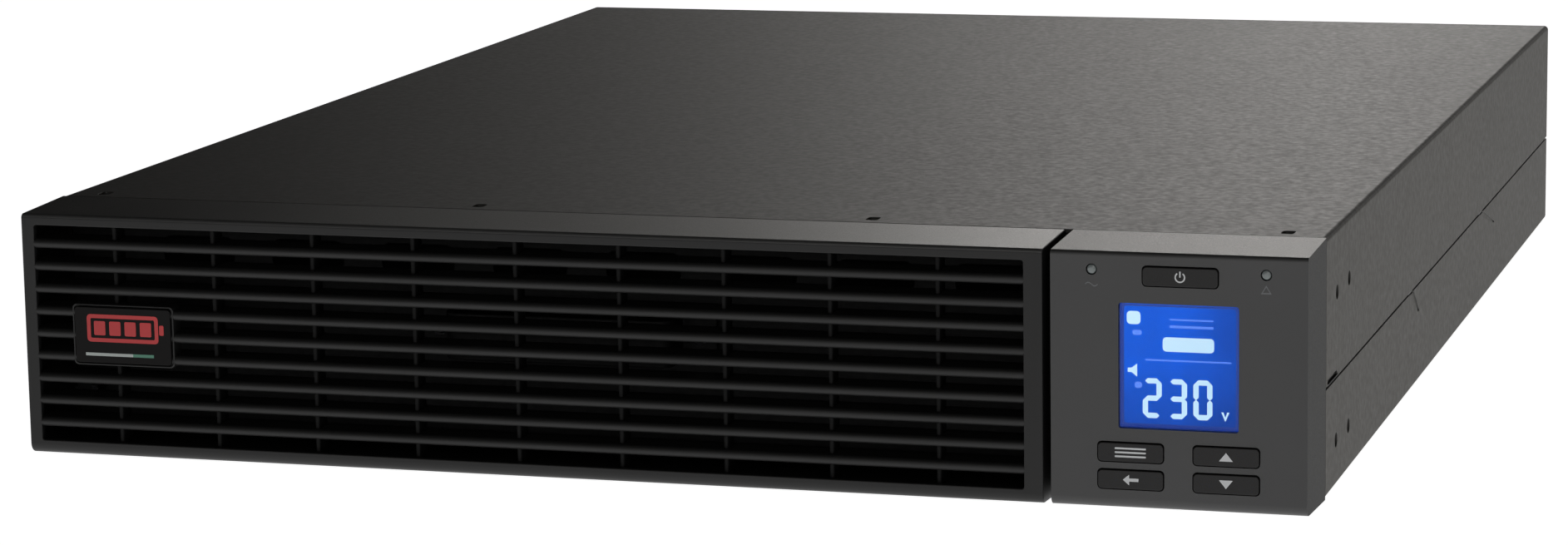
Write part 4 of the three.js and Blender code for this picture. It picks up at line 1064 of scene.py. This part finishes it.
def make_handle():
    """A bail bent from flat bar, with a riveted foot at each end."""
    (x0, x1), (front, back), z = node_box("tray_handle")
    thick, foot, bend = 2.0, 12, 5
    left, right = x0 + foot, x1 - foot
    near_left, near_right = (left + bend, front + bend), (right - bend, front + bend)
    seat, tight = back - thick, bend - thick
    outline = [(x0, back), (x0, seat), (left, seat)]
    outline += arc(near_left, bend, 180, 270) + arc(near_right, bend, -90, 0)
    outline += [(right, seat), (x1, seat), (x1, back), (right - thick, back)]
    outline += arc(near_right, tight, 0, -90) + arc(near_left, tight, 270, 180)
    outline.append((left + thick, back))
    handle = soften(prism("pull_handle", outline, "z", z), 0.6, 3)
    dress(handle, TRAY, "tray", ["tray_handle"])
    dome = shifted([(0, -3.4), (1.6, -3.1), (2.4, -2.3), (2.5, -1.9), (0, -1.9)], 0, back)
    for side, at in (("left", x0 + foot / 2), ("right", x1 - foot / 2)):
        rivet = turned(f"handle_rivet_{side}", dome, (at, middle(z)), steps=24)
        dress(soften(rivet, 0.1), ZINC, "tray")


def knurled(centre, radius, teeth=36, depth=0.35):
    """A round outline with fine teeth."""
    radii = (radius, radius - depth)
    points = circle((0, 0), 1, teeth * 2)
    return [
        (centre[0] + a * radii[i % 2], centre[1] + b * radii[i % 2])
        for i, (a, b) in enumerate(points)
    ]


def make_thumbscrews():
    """Each is a slotted core on its thread, with a knurled grip."""
    for name in THUMBSCREWS:
        x, (front, back), _ = node_box(name)
        centre, radius = centre_of(name), half(x)
        seat = TRAY_FACE[0] - CLEARANCE
        grip = prism("grip", knurled(centre, radius), "y", (front + 1.2, seat - 1.6))
        shoulder, thread = radius - 0.5, 2
        profile = [(0, front), (radius - 1.3, front), (shoulder, front + 0.7), (shoulder, seat)]
        profile += [(thread, seat), (thread, back), (0, back)]
        core = turned(name, profile, centre)
        slot_x, slot_z = around(centre[0], 12), around(centre[1], 1.2)
        cut(core, block("slot", slot_x, (front - 1, front + 0.9), slot_z))
        head = soften(joined(f"{name}_head", core, grip), 0.12)
        dress(head, DARK_NICKEL, name.replace("tray_", ""), [name])


# ---- Batteries ----------------------------------------------------------------------------------
ROWS, COLUMNS = ("front", "middle", "rear"), ("left", "right")
BATTERY_Y = node_box("battery_front_left")[1]
ROW_GAP = node_box("battery_middle_left")[1][0] - BATTERY_Y[1]
LID_TALL = 7.6
VENT_PLUGS, VENT_PLUG_FIRST, VENT_PLUG_STEP = 6, 0.25, 0.1
TERMINAL_LONG = 5
TERMINAL_Z = (52, 54)
POLES = (("positive", 0.12), ("negative", 0.88))


def make_battery(node):
    """A sealed block on its side: case, lid with vent plugs, blank label and two tab terminals."""
    x, (front, back), z = node_box(node)
    lid_end = back - TERMINAL_LONG
    seam = lid_end - LID_TALL
    top = z[1]
    case = block(f"{node}_case", x, (front, seam), z)
    hollow = rounded_outline(grown(x, -7), (front + 7, seam - 7), 3)
    cut(case, prism("hollow", hollow, "z", (top - 0.7, top + 1)))
    dress(soften(case, 1.0, 4), BATTERY, "tray", [node])
    lid = block(f"{node}_lid", grown(x, -0.5), (seam, lid_end), grown(z, -0.5))
    plugs = [
        hole((part_of(x, VENT_PLUG_FIRST + VENT_PLUG_STEP * i), middle(z)), 4.2,
             (lid_end - 0.5, lid_end + 1))
        for i in range(VENT_PLUGS)
    ]
    dress(soften(cut(lid, *plugs), 0.5, 3), BATTERY_LID, "tray")
    label = rounded_outline(grown(x, -24), (front + 20, seam - 20), 2)
    label = prism(f"{node}_label", label, "z", (top - 0.72, top - 0.55))
    dress(label, LABEL, "tray")
    for (pole, part), collar in zip(POLES, (RED_PRINT, BLACK)):
        at = part_of(x, part)
        tab = rounded_outline(around(at, 6), (lid_end - 1, back), 0.8)
        tab = prism(f"{node}_{pole}_tab", tab, "z", TERMINAL_Z)
        cut(tab, prism("hole", circle((at, back - 2.4), 0.9, 16), "z", grown(TERMINAL_Z, 1)))
        dress(soften(tab, 0.1), BRASS, "tray")
        base_z, base_y = around(middle(TERMINAL_Z), 8), (lid_end - 0.6, lid_end + 1.2)
        base = plate(f"{node}_{pole}_base", around(at, 12), base_z, 1.5, base_y)
        dress(soften(base, 0.25), collar, "tray")


# The loom: each lead's step over the others for each row, and the places of the ties.
LEAD_STEPS = (-1.8, 0, 1.8)
LEAD_RADIUS, LEAD_APART = 0.9, 0.95
LAST_RISER_Y = 22
CROSS_TIES_X, TRUNK_TIES_Y = (-150, -75, 40), (-140, -90, -20)


def make_loom():
    """A red and a black lead for each row of batteries: bundled from the plug along the tray's
    floor, then up and across over the row's terminals, with a push-on boot at each tab."""
    x, _, z = node_box("battery_loom")
    trunk_x, plug_z = centre_of("tray_plug")
    low, high = z[0] + 2.8, z[1] - 2.2
    leads = {"red": [], "black": []}
    boots = {"red": [], "black": []}
    ties = []
    for row, step in zip(ROWS, LEAD_STEPS):
        back = node_box(f"battery_{row}_left")[1][1]
        cross_y = back + ROW_GAP / 2
        riser = min(cross_y, LAST_RISER_Y)
        for colour, side, (_, part) in zip(leads, (-LEAD_APART, LEAD_APART), POLES):
            at = trunk_x + side
            corners = [(at, PLUG_BOX[1][0] - 0.4, plug_z + step)]
            if riser < LAST_RISER_Y:
                turn = LAST_RISER_Y + step
                corners += [(at, turn, plug_z + step), (at, turn, low + step)]
                corners += [(at, riser + side, low + step)]
            else:
                corners += [(at, riser + side, plug_z + step)]
            corners += [(at, riser + side, high)]
            if cross_y > riser:
                corners += [(at, cross_y + side, high)]
            corners += [(x[0] + 2, cross_y + side, high)]
            leads[colour].append(tube("lead", rounded_route(corners, 3.5), LEAD_RADIUS))
            for column in COLUMNS:
                tab = part_of(node_box(f"battery_{row}_{column}")[0], part)
                end = back - 2.4
                drop = [(tab, cross_y + side, high), (tab, end, high)]
                drop.append((tab, end, TERMINAL_Z[1] + 1))
                leads[colour].append(tube("drop", rounded_route(drop, 1.2), LEAD_RADIUS))
                boot = rounded_outline(around(tab, 7.4), grown(TERMINAL_Z, 0.9), 1)
                boots[colour].append((boot, "y", (back - 4.2, back - 0.3)))
        band = rounded_outline(around(cross_y, 4.2), around(high, 2.4), 1)
        ties += [(band, "x", around(at, 2.2)) for at in CROSS_TIES_X]
    band = rounded_outline(around(trunk_x, 4.4), around(low, 6.0), 1.2)
    ties += [(band, "y", around(at, 2.2)) for at in TRUNK_TIES_Y]
    for colour, cable, cover, replaced in (
        ("red", RED_CABLE, RED_PRINT, ["battery_loom"]),
        ("black", BLACK_CABLE, BLACK, []),
    ):
        whole = joined(f"battery_leads_{colour}", *leads[colour])
        dress(whole, cable, "tray", replaced)
        dress(soften(prisms(f"tab_boots_{colour}", boots[colour]), 0.3), cover, "tray")
    dress(soften(prisms("cable_ties", ties), 0.2), LABEL, "tray")


def make_connectors():
    """The tray's plug and the fixed socket behind it: two keyed halves with round contact bores."""
    for name, box, body, mouth in (
        ("tray_plug", PLUG_BOX, "tray", PLUG_BOX[1][1]),
        ("bay_socket", SOCKET_BOX, "chassis", SOCKET_BOX[1][0]),
    ):
        shell = plate(f"{name}_shell", box[0], box[2], 2, box[1])
        x, z = centre_of(name)
        bores = [hole((x + shift, z), 2.8, around(mouth, 12)) for shift in (-4.4, 4.4)]
        dress(soften(cut(shell, *bores), 0.4, 3), CONNECTOR, body, [name])


# ---- Fans ---------------------------------------------------------------------------------------
FAN_SIDES = ("left", "right")
FAN_BORE, FAN_HUB, FAN_TIP = 33, 15, 31.5
FAN_HOLES = 30.75
BLADE_COUNT = 7
BLADE_ROOT = FAN_HUB - 0.6
GUARD_WIRE = 0.8
GUARD_RINGS = (6.8, 12.8, 17.3, 21.8, 26.3, 30.8)


def fan_centre(side):
    return centre_of(f"fan_housing_{side}")


def corners_of(centre, reach):
    return [(centre[0] + i * reach, centre[1] + j * reach) for i in (-1, 1) for j in (-1, 1)]


def make_fan_housing(side):
    """Two square flanges on a round duct, with the motor held on four arms at the rear."""
    node = f"fan_housing_{side}"
    x, y, z = node_box(node)
    centre, (front, back) = fan_centre(side), y
    duct = prism("duct", circle(centre, FAN_BORE + 1.9, 64), "y", y)
    flanges = [plate("flange", x, z, 4, span) for span in ((front, front + 4), (back - 4, back))]
    cut(duct, *flanges, operation="UNION")
    cutters = [hole(centre, FAN_BORE, grown(y, 1), 64)]
    cutters += [hole(place, 2.1, grown(y, 1), 20) for place in corners_of(centre, FAN_HOLES)]
    cut(duct, *cutters)
    arms = []
    for angle in (45, 135, 225, 315):
        outward = Vector((math.cos(math.radians(angle)), math.sin(math.radians(angle))))
        across = Vector((-outward.y, outward.x)) * 1.5
        inner, outer = (Vector(centre) + outward * r for r in (FAN_HUB - 1, FAN_BORE + 0.8))
        corners = (inner - across, outer - across, outer + across, inner + across)
        arms.append(([tuple(p) for p in corners], "y", (back - 4, back - 0.4)))
    can = [(0, -6), (FAN_HUB, -6), (FAN_HUB, -0.8), (FAN_HUB - 0.8, -0.1), (0, -0.1)]
    motor = turned("motor", shifted(can, 0, back), centre)
    whole = joined(f"{node}_frame", duct, prisms("arms", arms), motor)
    dress(soften(whole, 0.3), FAN_BLACK, replaces=[node])
    sticker = prism(f"fan_label_{side}", circle(centre, 11.5, 48), "y", (back - 0.15, back - 0.02))
    dress(sticker, LABEL)


def blade_sheet(bm, centre, start, span):
    """A cambered blade as a grid, whose pitch eases off from its root to its tip."""
    stations, across = 7, 8
    root_pitch, pitch_change, root_chord, chord_change, sweep, camber = 46, -18, 15, 6, 0.3, 1.6
    grid = []
    for i in range(stations + 1):
        t = i / stations
        radius = BLADE_ROOT + (FAN_TIP - BLADE_ROOT) * t
        pitch = math.radians(root_pitch + pitch_change * t)
        chord = root_chord + chord_change * t
        row = []
        for j in range(across + 1):
            u = j / across - 0.5
            turn = start + chord * u * math.cos(pitch) / radius + sweep * t
            lift = chord * u * math.sin(pitch) + camber * (1 - 4 * u * u)
            y = middle(span) + max(-half(span), min(half(span), lift))
            x, z = centre[0] + radius * math.cos(turn), centre[1] + radius * math.sin(turn)
            row.append(bm.verts.new(Vector((x, y, z)) * MM))
        grid.append(row)
    for low, high in zip(grid, grid[1:]):
        for j in range(across):
            bm.faces.new((low[j], low[j + 1], high[j + 1], high[j]))


def make_fan_rotor(side):
    node = f"fan_rotor_{side}"
    y = node_box(node)[1]
    centre, (front, back) = fan_centre(side), y
    bm = bmesh.new()
    for i in range(BLADE_COUNT):
        blade_sheet(bm, centre, 2 * math.pi * i / BLADE_COUNT, grown(y, -1))
    blades = object_from("blades", bm)
    thickness = blades.modifiers.new("thickness", "SOLIDIFY")
    thickness.thickness = 1.1 * MM
    thickness.offset = 0
    settle(blades)
    profile = [(0, front), (FAN_HUB - 3, front), (FAN_HUB - 0.9, front + 0.8)]
    profile += [(FAN_HUB, front + 3), (FAN_HUB, back), (0, back)]
    rotor = joined(f"{node}_blades", blades, turned("hub", profile, centre))
    dress(soften(rotor, 0.2, 2, 50), FAN_BLACK, f"rotor_{side}", [node])


def make_fan_guard(side):
    """Concentric wires on two crossed bars, with a screw through the eye at each corner."""
    node = f"fan_guard_{side}"
    y = node_box(node)[1]
    centre = fan_centre(side)
    spoke_y, ring_y = y[0] + 1.0, y[1] - GUARD_WIRE
    wires = [tube("wire", ring(centre, r, ring_y), GUARD_WIRE, True) for r in GUARD_RINGS]
    low_left, high_left, low_right, high_right = corners_of(centre, FAN_HOLES - 2)
    for (x0, z0), (x1, z1) in ((low_left, high_right), (high_left, low_right)):
        wires.append(tube("spoke", [(x0, spoke_y, z0), (x1, spoke_y, z1)], GUARD_WIRE))
    corners = corners_of(centre, FAN_HOLES)
    wires += [tube("eye", ring(place, 2.8, spoke_y, 24), GUARD_WIRE, True) for place in corners]
    dress(joined(f"{node}_wires", *wires), ZINC, replaces=[node])
    for i, (x, z) in enumerate(corners):
        screw = screw_head(f"fan_screw_{side}_{i}", x, z, spoke_y + GUARD_WIRE, 2.7, 1.8)
        dress(soften(screw, 0.08), BLACK_STEEL)


# ---- Rear panel and its connectors --------------------------------------------------------------
REAR_BOX = node_box("rear_panel")
REAR = REAR_BOX[1][1]
LIP = (REAR + CLEARANCE, REAR + 2)
BANKS = ("outlet_bank_upper", "outlet_bank_lower")
BANK_PITCH = 34
SMALL_SOCKET = {"width": 24, "height": 16.4, "chamfer": 5, "rim": 2.6}
LARGE_SOCKET = {"width": 31, "height": 23, "chamfer": 1, "rim": 3}
SOCKET_DEPTH = 15
CONTACTS = ((-0.25, -1.5), (0, 2), (0.25, -1.5))
INLET_SIZE, INLET_DEPTH, INLET_BLADES = (27, 19), 17, ((-8, -2), (0, 3), (8, -2))
TERMINAL_WAYS = (0.28, 0.72)
SERIAL_BODY, SERIAL_PIN_PITCH, SERIAL_NUT_PITCH = (19.4, 10.6), 2.76, 25
SLOT_SCREWS = ("slot_screw_inner", "slot_screw_outer")
PANEL_SCREW_INSET, PANEL_SCREW_MIDDLE_X = 5, -52

# Openings of the rear panel: (node, how far inside the node's outline), and (node, size).
INSET_OPENINGS = (
    (BANKS[0], 2.7), (BANKS[1], 2.7), ("wide_outlet", 1.7), ("ac_inlet", 1.7),
    ("epo_terminal", -CLEARANCE), ("usb_port", -CLEARANCE),
)
SIZED_OPENINGS = (("serial_port", (20, 11.2)), ("slot_cover", (44, 26)))


def scaled(points, centre, by_x, by_z):
    x, z = centre
    return [(x + (a - x) * by_x, z + (b - z) * by_z) for a, b in points]


def hexagon(centre, radius):
    return arc(centre, radius, 0, 300, 5)


def lipped_body(name, node, inset, corner):
    """A connector's body, with its lip in front of the panel."""
    x, y, z = node_box(node)
    body = plate(name, grown(x, -inset), grown(z, -inset), 1, (y[0], LIP[0] + 0.5))
    return cut(body, plate("lip", x, z, corner, LIP), operation="UNION")


def socket_outline(centre, width, height, chamfer):
    """A socket's face: a rectangle with rounded lower corners and cut-off upper ones."""
    (left, right), (low, high) = spans(centre, width, height)
    r = 0.9
    outline = arc((left + r, low + r), r, 180, 270, 4) + arc((right - r, low + r), r, -90, 0, 4)
    outline += [(right, high - chamfer), (right - chamfer, high)]
    return outline + [(left + chamfer, high), (left, high - chamfer)]


def contact_spans(centre, size, width, height):
    """The spans of one contact after another."""
    return [
        spans((centre[0] + size["width"] * part, centre[1] + dz), width, height)
        for part, dz in CONTACTS
    ]


def socket_cutters(centre, size):
    """The groove round a socket's island and its three contact slots."""
    width, height, chamfer, rim = size.values()
    run = (LIP[1] - SOCKET_DEPTH, LIP[1] + 1)
    groove = prism("groove", socket_outline(centre, width, height, chamfer), "y", run)
    island = socket_outline(centre, width - 2 * rim, height - 2 * rim, chamfer * 0.8)
    cut(groove, prism("island", island, "y", grown(run, 1)))
    slots = [rounded_outline(x, z, 0.3, 2) for x, z in contact_spans(centre, size, 2, 4.4)]
    return [groove, *(prism("slot", outline, "y", run) for outline in slots)]


def make_outlets(node, centres, size, inset):
    """A block of outlets, with brass deep in the slots."""
    body = lipped_body(f"{node}_body", node, inset, 2.2)
    cutters = [cutter for centre in centres for cutter in socket_cutters(centre, size)]
    dress(soften(cut(body, *cutters), 0.3), BLACK, replaces=[node])
    run = (LIP[1] - SOCKET_DEPTH + 0.5, LIP[1] - 8)
    leaves = [
        (rectangle(x, z), "y", run)
        for centre in centres for x, z in contact_spans(centre, size, 1.1, 3.6)
    ]
    dress(prisms(f"{node}_contacts", leaves), BRASS)


def make_inlet():
    """The mains inlet: a recess with three blades."""
    x, z = centre_of("ac_inlet")
    body = lipped_body("inlet_body", "ac_inlet", 2, 3)
    floor = LIP[1] - INLET_DEPTH
    recess = plate("recess", *spans((x, z), *INLET_SIZE), 2.5, (floor, LIP[1] + 1))
    dress(soften(cut(body, recess), 0.35, 3), BLACK, replaces=["ac_inlet"])
    blades = [
        (rounded_outline(*spans((x + dx, z + dz), 2, 6), 0.6, 3), "y", (floor - 1, LIP[1] - 2))
        for dx, dz in INLET_BLADES
    ]
    dress(soften(prisms("inlet_blades", blades), 0.25), ZINC)


def make_breaker():
    """The breaker's threaded barrel and nut, with its reset button in the barrel."""
    front, back = node_box("circuit_breaker")[1]
    centre = centre_of("circuit_breaker")
    case, barrel, bore = 11, 6, 3.9
    case_end, bore_end = REAR - 3.2, REAR - 9.2
    profile = [(0, front), (case, front), (case, case_end), (barrel, case_end)]
    profile += [(barrel, back - 0.2), (barrel - 0.4, back)]
    profile += [(bore, back), (bore, bore_end), (0, bore_end)]
    body = soften(turned("breaker_barrel", profile, centre), 0.2)
    dress(body, BLACK, replaces=["circuit_breaker"])
    nut = prism("breaker_nut", hexagon(centre, 9), "y", (REAR + CLEARANCE, REAR + 2.2))
    cut(nut, hole(centre, barrel + 0.05, (REAR - 1, REAR + 4), 40))
    dress(soften(nut, 0.3, 3), ZINC)
    front, back = node_box("breaker_button")[1]
    profile = [(0, front), (3.6, front)]
    profile += shifted([(3.6, -0.8), (3.3, -0.25), (2.6, 0), (1.6, -0.15), (0, -0.3)], 0, back)
    cap = soften(turned("breaker_cap", profile, centre), 0.1)
    dress(cap, KEY, "breaker_key", ["breaker_button"])


def make_shutdown_terminal():
    """A plug-in screw terminal with two wire entries."""
    x, y, z = node_box("epo_terminal")
    body = plate("shutdown_terminal", x, z, 0.8, y)
    screw_places = [(part_of(x, part), z[1] - 3.2) for part in TERMINAL_WAYS]
    cutters = []
    for place in screw_places:
        entry_x, entry_z = around(place[0], 5), (z[0] + 1.2, z[0] + 5)
        cutters.append(plate("entry", entry_x, entry_z, 0.5, (y[1] - 6, y[1] + 1)))
        cutters.append(hole(place, 1.9, (y[1] - 3, y[1] + 1), 20))
    body = soften(cut(body, *cutters), 0.25)
    dress(body, GREEN_PLASTIC, replaces=["epo_terminal"])
    screws = [(circle(place, 1.7, 20), "y", (y[1] - 5, y[1] - 1.6)) for place in screw_places]
    dress(prisms("terminal_screws", screws), ZINC)


def make_usb_port():
    (left, right), y, (low, high) = node_box("usb_port")
    centre, chamfer = centre_of("usb_port"), 2.4
    outer = [(left, low), (right, low), (right, high - chamfer), (right - chamfer, high)]
    outer += [(left + chamfer, high), (left, high - chamfer)]
    shell = prism("usb_shell", outer, "y", y)
    cut(shell, prism("hollow", scaled(outer, centre, 0.8, 0.8), "y", (REAR - 9, y[1] + 1)))
    dress(soften(shell, 0.2), ZINC, replaces=["usb_port"])
    tongue_x, tongue_z = spans(centre, 6, 3.2)
    tongue = block("usb_tongue", tongue_x, (REAR - 10, REAR), tongue_z)
    dress(soften(tongue, 0.25), LABEL)


def make_serial_port():
    """A nine-way connector: plated flange and D-shaped shell, black insert, pins and jack nuts."""
    x, y, z = node_box("serial_port")
    centre = centre_of("serial_port")
    seat = REAR + 1.3
    flange = plate("flange", x, z, 1.5, (REAR + CLEARANCE, seat))
    wide, narrow, tall = 8.7, 7.6, 4.3
    outline = shifted([(-narrow, -tall), (narrow, -tall), (wide, tall), (-wide, tall)], *centre)
    shell = prism("shell", outline, "y", (REAR + 1, y[1]))
    inner = scaled(outline, centre, 0.93, 0.88)
    cut(shell, prism("hollow", inner, "y", (REAR + 1.4, y[1] + 1)))
    body_x, body_z = spans(centre, *SERIAL_BODY)
    whole = joined("serial_shell", flange, shell, block("body", body_x, (y[0], REAR + 1), body_z))
    dress(soften(whole, 0.2), ZINC, replaces=["serial_port"])
    insert = prism("serial_insert", inner, "y", (REAR + 1.2, REAR + 2))
    dress(insert, BLACK)
    pins = []
    for count, dz in ((5, 1.4), (4, -1.4)):
        for i in range(count):
            place = (centre[0] + (i - (count - 1) / 2) * SERIAL_PIN_PITCH, centre[1] + dz)
            pins.append((circle(place, 0.5, 12), "y", (REAR + 1.6, y[1] - 0.7)))
    dress(prisms("serial_pins", pins), BRASS)
    nuts = []
    for place in ((at, centre[1]) for at in around(centre[0], SERIAL_NUT_PITCH)):
        nut = prism("nut", hexagon(place, 2.7), "y", (seat, y[1]))
        nuts.append(cut(nut, hole(place, 1.3, (REAR + 3, y[1] + 1), 20)))
    dress(soften(joined("serial_jack_nuts", *nuts), 0.15), ZINC)


def make_slot_cover():
    """The accessory slot's cover with its two screws, and the earth screw with its washer."""
    x, y, z = node_box("slot_cover")
    cover = plate("accessory_cover", x, z, 2, y)
    cut(cover, *(hole(centre_of(name), 1.8, grown(y, 1), 20) for name in SLOT_SCREWS))
    dress(soften(cover, 0.2), CASE, replaces=["slot_cover"])
    for name in SLOT_SCREWS:
        radius = half(node_box(name)[0])
        head = screw_head(f"{name}_head", *centre_of(name), y[1] + CLEARANCE, radius)
        dress(soften(head, 0.08), BLACK_STEEL, replaces=[name])
    centre, radius = centre_of("ground_screw"), half(node_box("ground_screw")[0])
    head = screw_head("earth_screw_head", *centre, REAR + 0.9, radius, 1.5)
    dress(soften(head, 0.1), ZINC, replaces=["ground_screw"])
    profile = shifted([(1.9, 0.1), (4.3, 0.1), (4.3, 0.7), (1.9, 0.9), (1.9, 0.1)], 0, REAR)
    dress(turned("earth_washer", profile, centre, steps=24), BRASS)


def make_rear_panel():
    x, y, z = REAR_BOX
    panel = plate("rear_plate", x, z, 1, y)
    run = grown(y, 1)
    cutters = [hole(fan_centre(side), FAN_BORE, run, 64) for side in FAN_SIDES]
    for node, inset in INSET_OPENINGS:
        box = node_box(node)
        cutters.append(plate("opening", grown(box[0], -inset), grown(box[2], -inset), 0.8, run))
    for node, size in SIZED_OPENINGS:
        cutters.append(plate("opening", *spans(centre_of(node), *size), 1, run))
    cutters.append(hole(centre_of("circuit_breaker"), 6.3, run, 40))
    cutters += [hole(centre_of(node), 1.9, run, 20) for node in (*SLOT_SCREWS, "ground_screw")]
    dress(soften(cut(panel, *cutters), 0.15), CASE, replaces=["rear_panel"])
    columns, (low, high) = grown(x, -PANEL_SCREW_INSET), grown(z, -PANEL_SCREW_INSET)
    places = [(at, row) for at in columns for row in (low, high)]
    places += [(PANEL_SCREW_MIDDLE_X, high), (PANEL_SCREW_MIDDLE_X, low)]
    for i, place in enumerate(places):
        head = screw_head(f"panel_screw_{i}", *place, REAR, 2.6, 1.6)
        dress(soften(head, 0.08), BLACK_STEEL)


# ---- Power section ------------------------------------------------------------------------------
def make_internals():
    """Finishes the boards and sheet inside that stay as the CAD made them."""
    for name, material in (
        ("bay_wall", CASE), ("display_board", BOARD), ("power_board", BOARD),
        ("charger_board", BOARD), ("heatsink_left", ALUMINIUM), ("heatsink_right", ALUMINIUM),
        ("transfer_relay", BLACK), ("display_ribbon", RIBBON),
    ):
        finish_node(name, material, 0.15)


def make_capacitors():
    """Sleeved cans with a rolled groove under the top, and a cross of vent lines on it."""
    for name in ("capacitor_front", "capacitor_rear"):
        x, y, (low, high) = node_box(name)
        centre, r = (middle(x), middle(y)), half(x)
        can = [(0, low), (r - 0.8, low), (r, low + 1)]
        can += shifted([
            (r, -5), (r - 0.8, -4.2), (r, -3.4), (r, -1.2),
            (r - 1.2, -0.4), (r - 3, -0.6), (0, -0.6),
        ], 0, high)
        can = soften(turned(f"{name}_can", can, centre, "z"), 0.15)
        dress(can, SLEEVE, replaces=[name])
        vent = prisms(f"{name}_vent", [
            (rectangle(*spans(centre, *size)), "z", (high - 0.7, high - 0.45))
            for size in ((16, 1), (1, 16))
        ])
        dress(vent, ALUMINIUM)


def make_choke():
    """A ring core under a close layer of thick enamelled wire."""
    x, y, z = node_box("output_choke")
    centre = (middle(x), middle(y))
    outer, inner, wire, turns, buried = half(x), 12, 1.5, 34, 3.4
    mid = (outer + inner) / 2
    core = rectangle((inner + buried, outer - buried), grown(z, -buried))
    core = turned("choke_core", core + core[:1], centre, "z")
    dress(core, CORE, replaces=["output_choke"])
    section_x, section_z = around(0, outer - inner - 2 * wire), around(0, z[1] - z[0] - 2 * wire)
    loops = []
    for i in range(turns):
        angle = 2 * math.pi * i / turns
        points = [
            (centre[0] + (mid + a) * math.cos(angle), centre[1] + (mid + a) * math.sin(angle),
             middle(z) + b)
            for a, b in rounded_outline(section_x, section_z, 5, 4)
        ]
        loops.append(tube("turn", points, wire * 0.85, True))
    dress(joined("choke_wire", *loops), COPPER)


def make_transformer():
    """A window core round a coil on its bobbin."""
    x, y, (low, high) = node_box("charger_transformer")
    centre_x, centre_y = middle(x), middle(y)
    core = block("transformer_core", x, around(centre_y, 40), (low, high))
    cut(core, block("window", around(centre_x, 34), around(centre_y, 44), (low + 9, high - 9)))
    dress(soften(core, 0.5), CORE, replaces=["charger_transformer"])
    coil_x, coil_z = around(centre_x, 32), (low + 7.6, low + 35.4)
    coil = plate("transformer_coil", coil_x, coil_z, 6, grown(y, -1.5))
    dress(soften(coil, 0.8, 3), COPPER)
    flange = rounded_outline(around(centre_x, 33), (low + 7, low + 36), 3)
    flanges = [(flange, "y", span) for span in ((y[0], y[0] + 1.5), (y[1] - 1.5, y[1]))]
    dress(soften(prisms("transformer_bobbin", flanges), 0.2), BLACK)


# Small parts on the boards: (board, free rectangle as x and y limits, columns, rows).
PART_FIELDS = (
    ("power_board", (-40, 56), (160, 176), 7, 2),
    ("power_board", (-38, 50), (214, 252), 6, 4),
    ("power_board", (98, 120), (96, 240), 2, 9),
    ("charger_board", (146, 208), (-100, 28), 5, 9),
    ("charger_board", (146, 208), (-222, -180), 4, 3),
)
CHIP_SIZES, CHIP_TALL = ((7, 4), (4, 3), (5, 5)), 1.6
CAN_RADIUS, CAN_TALL = 2.6, 9


def make_board_parts():
    """Rows of chips and small capacitors, in a fixed arrangement."""
    chips, cans = [], []
    for board, span_x, span_y, columns, rows in PART_FIELDS:
        top = node_box(board)[2][1]
        for i, j in ((i, j) for i in range(columns) for j in range(rows)):
            place = (part_of(span_x, (i + 0.5) / columns), part_of(span_y, (j + 0.5) / rows))
            kind = (i * 3 + j * 5) % 4
            if kind == 0:
                cans.append((circle(place, CAN_RADIUS, 20), "z", (top, top + CAN_TALL)))
            else:
                chip = rounded_outline(*spans(place, *CHIP_SIZES[kind - 1]), 0.3, 2)
                chips.append((chip, "z", (top, top + CHIP_TALL)))
    dress(soften(prisms("board_chips", chips), 0.15), BLACK)
    dress(soften(prisms("board_capacitors", cans), 0.3), SLEEVE)


# ---- Build --------------------------------------------------------------------------------------
make_camera()
make_studio()
make_floor()
make_cover()
make_base()
make_grille()
make_badge()
make_control_panel()
make_keys()
make_lights()
make_display()
make_tray()
make_handle()
make_thumbscrews()
for battery_row in ROWS:
    for battery_column in COLUMNS:
        make_battery(f"battery_{battery_row}_{battery_column}")
make_loom()
make_connectors()
for fan_side in FAN_SIDES:
    make_fan_housing(fan_side)
    make_fan_rotor(fan_side)
    make_fan_guard(fan_side)
make_rear_panel()
for bank in BANKS:
    bank_x, bank_z = centre_of(bank)
    make_outlets(bank, [(bank_x + i * BANK_PITCH, bank_z) for i in (-1, 0, 1)], SMALL_SOCKET, 3)
make_outlets("wide_outlet", [centre_of("wide_outlet")], LARGE_SOCKET, 2)
make_inlet()
make_breaker()
make_shutdown_terminal()
make_usb_port()
make_serial_port()
make_slot_cover()
make_internals()
make_capacitors()
make_choke()
make_transformer()
make_board_parts()

bpy.context.scene.view_settings.view_transform = "Standard"
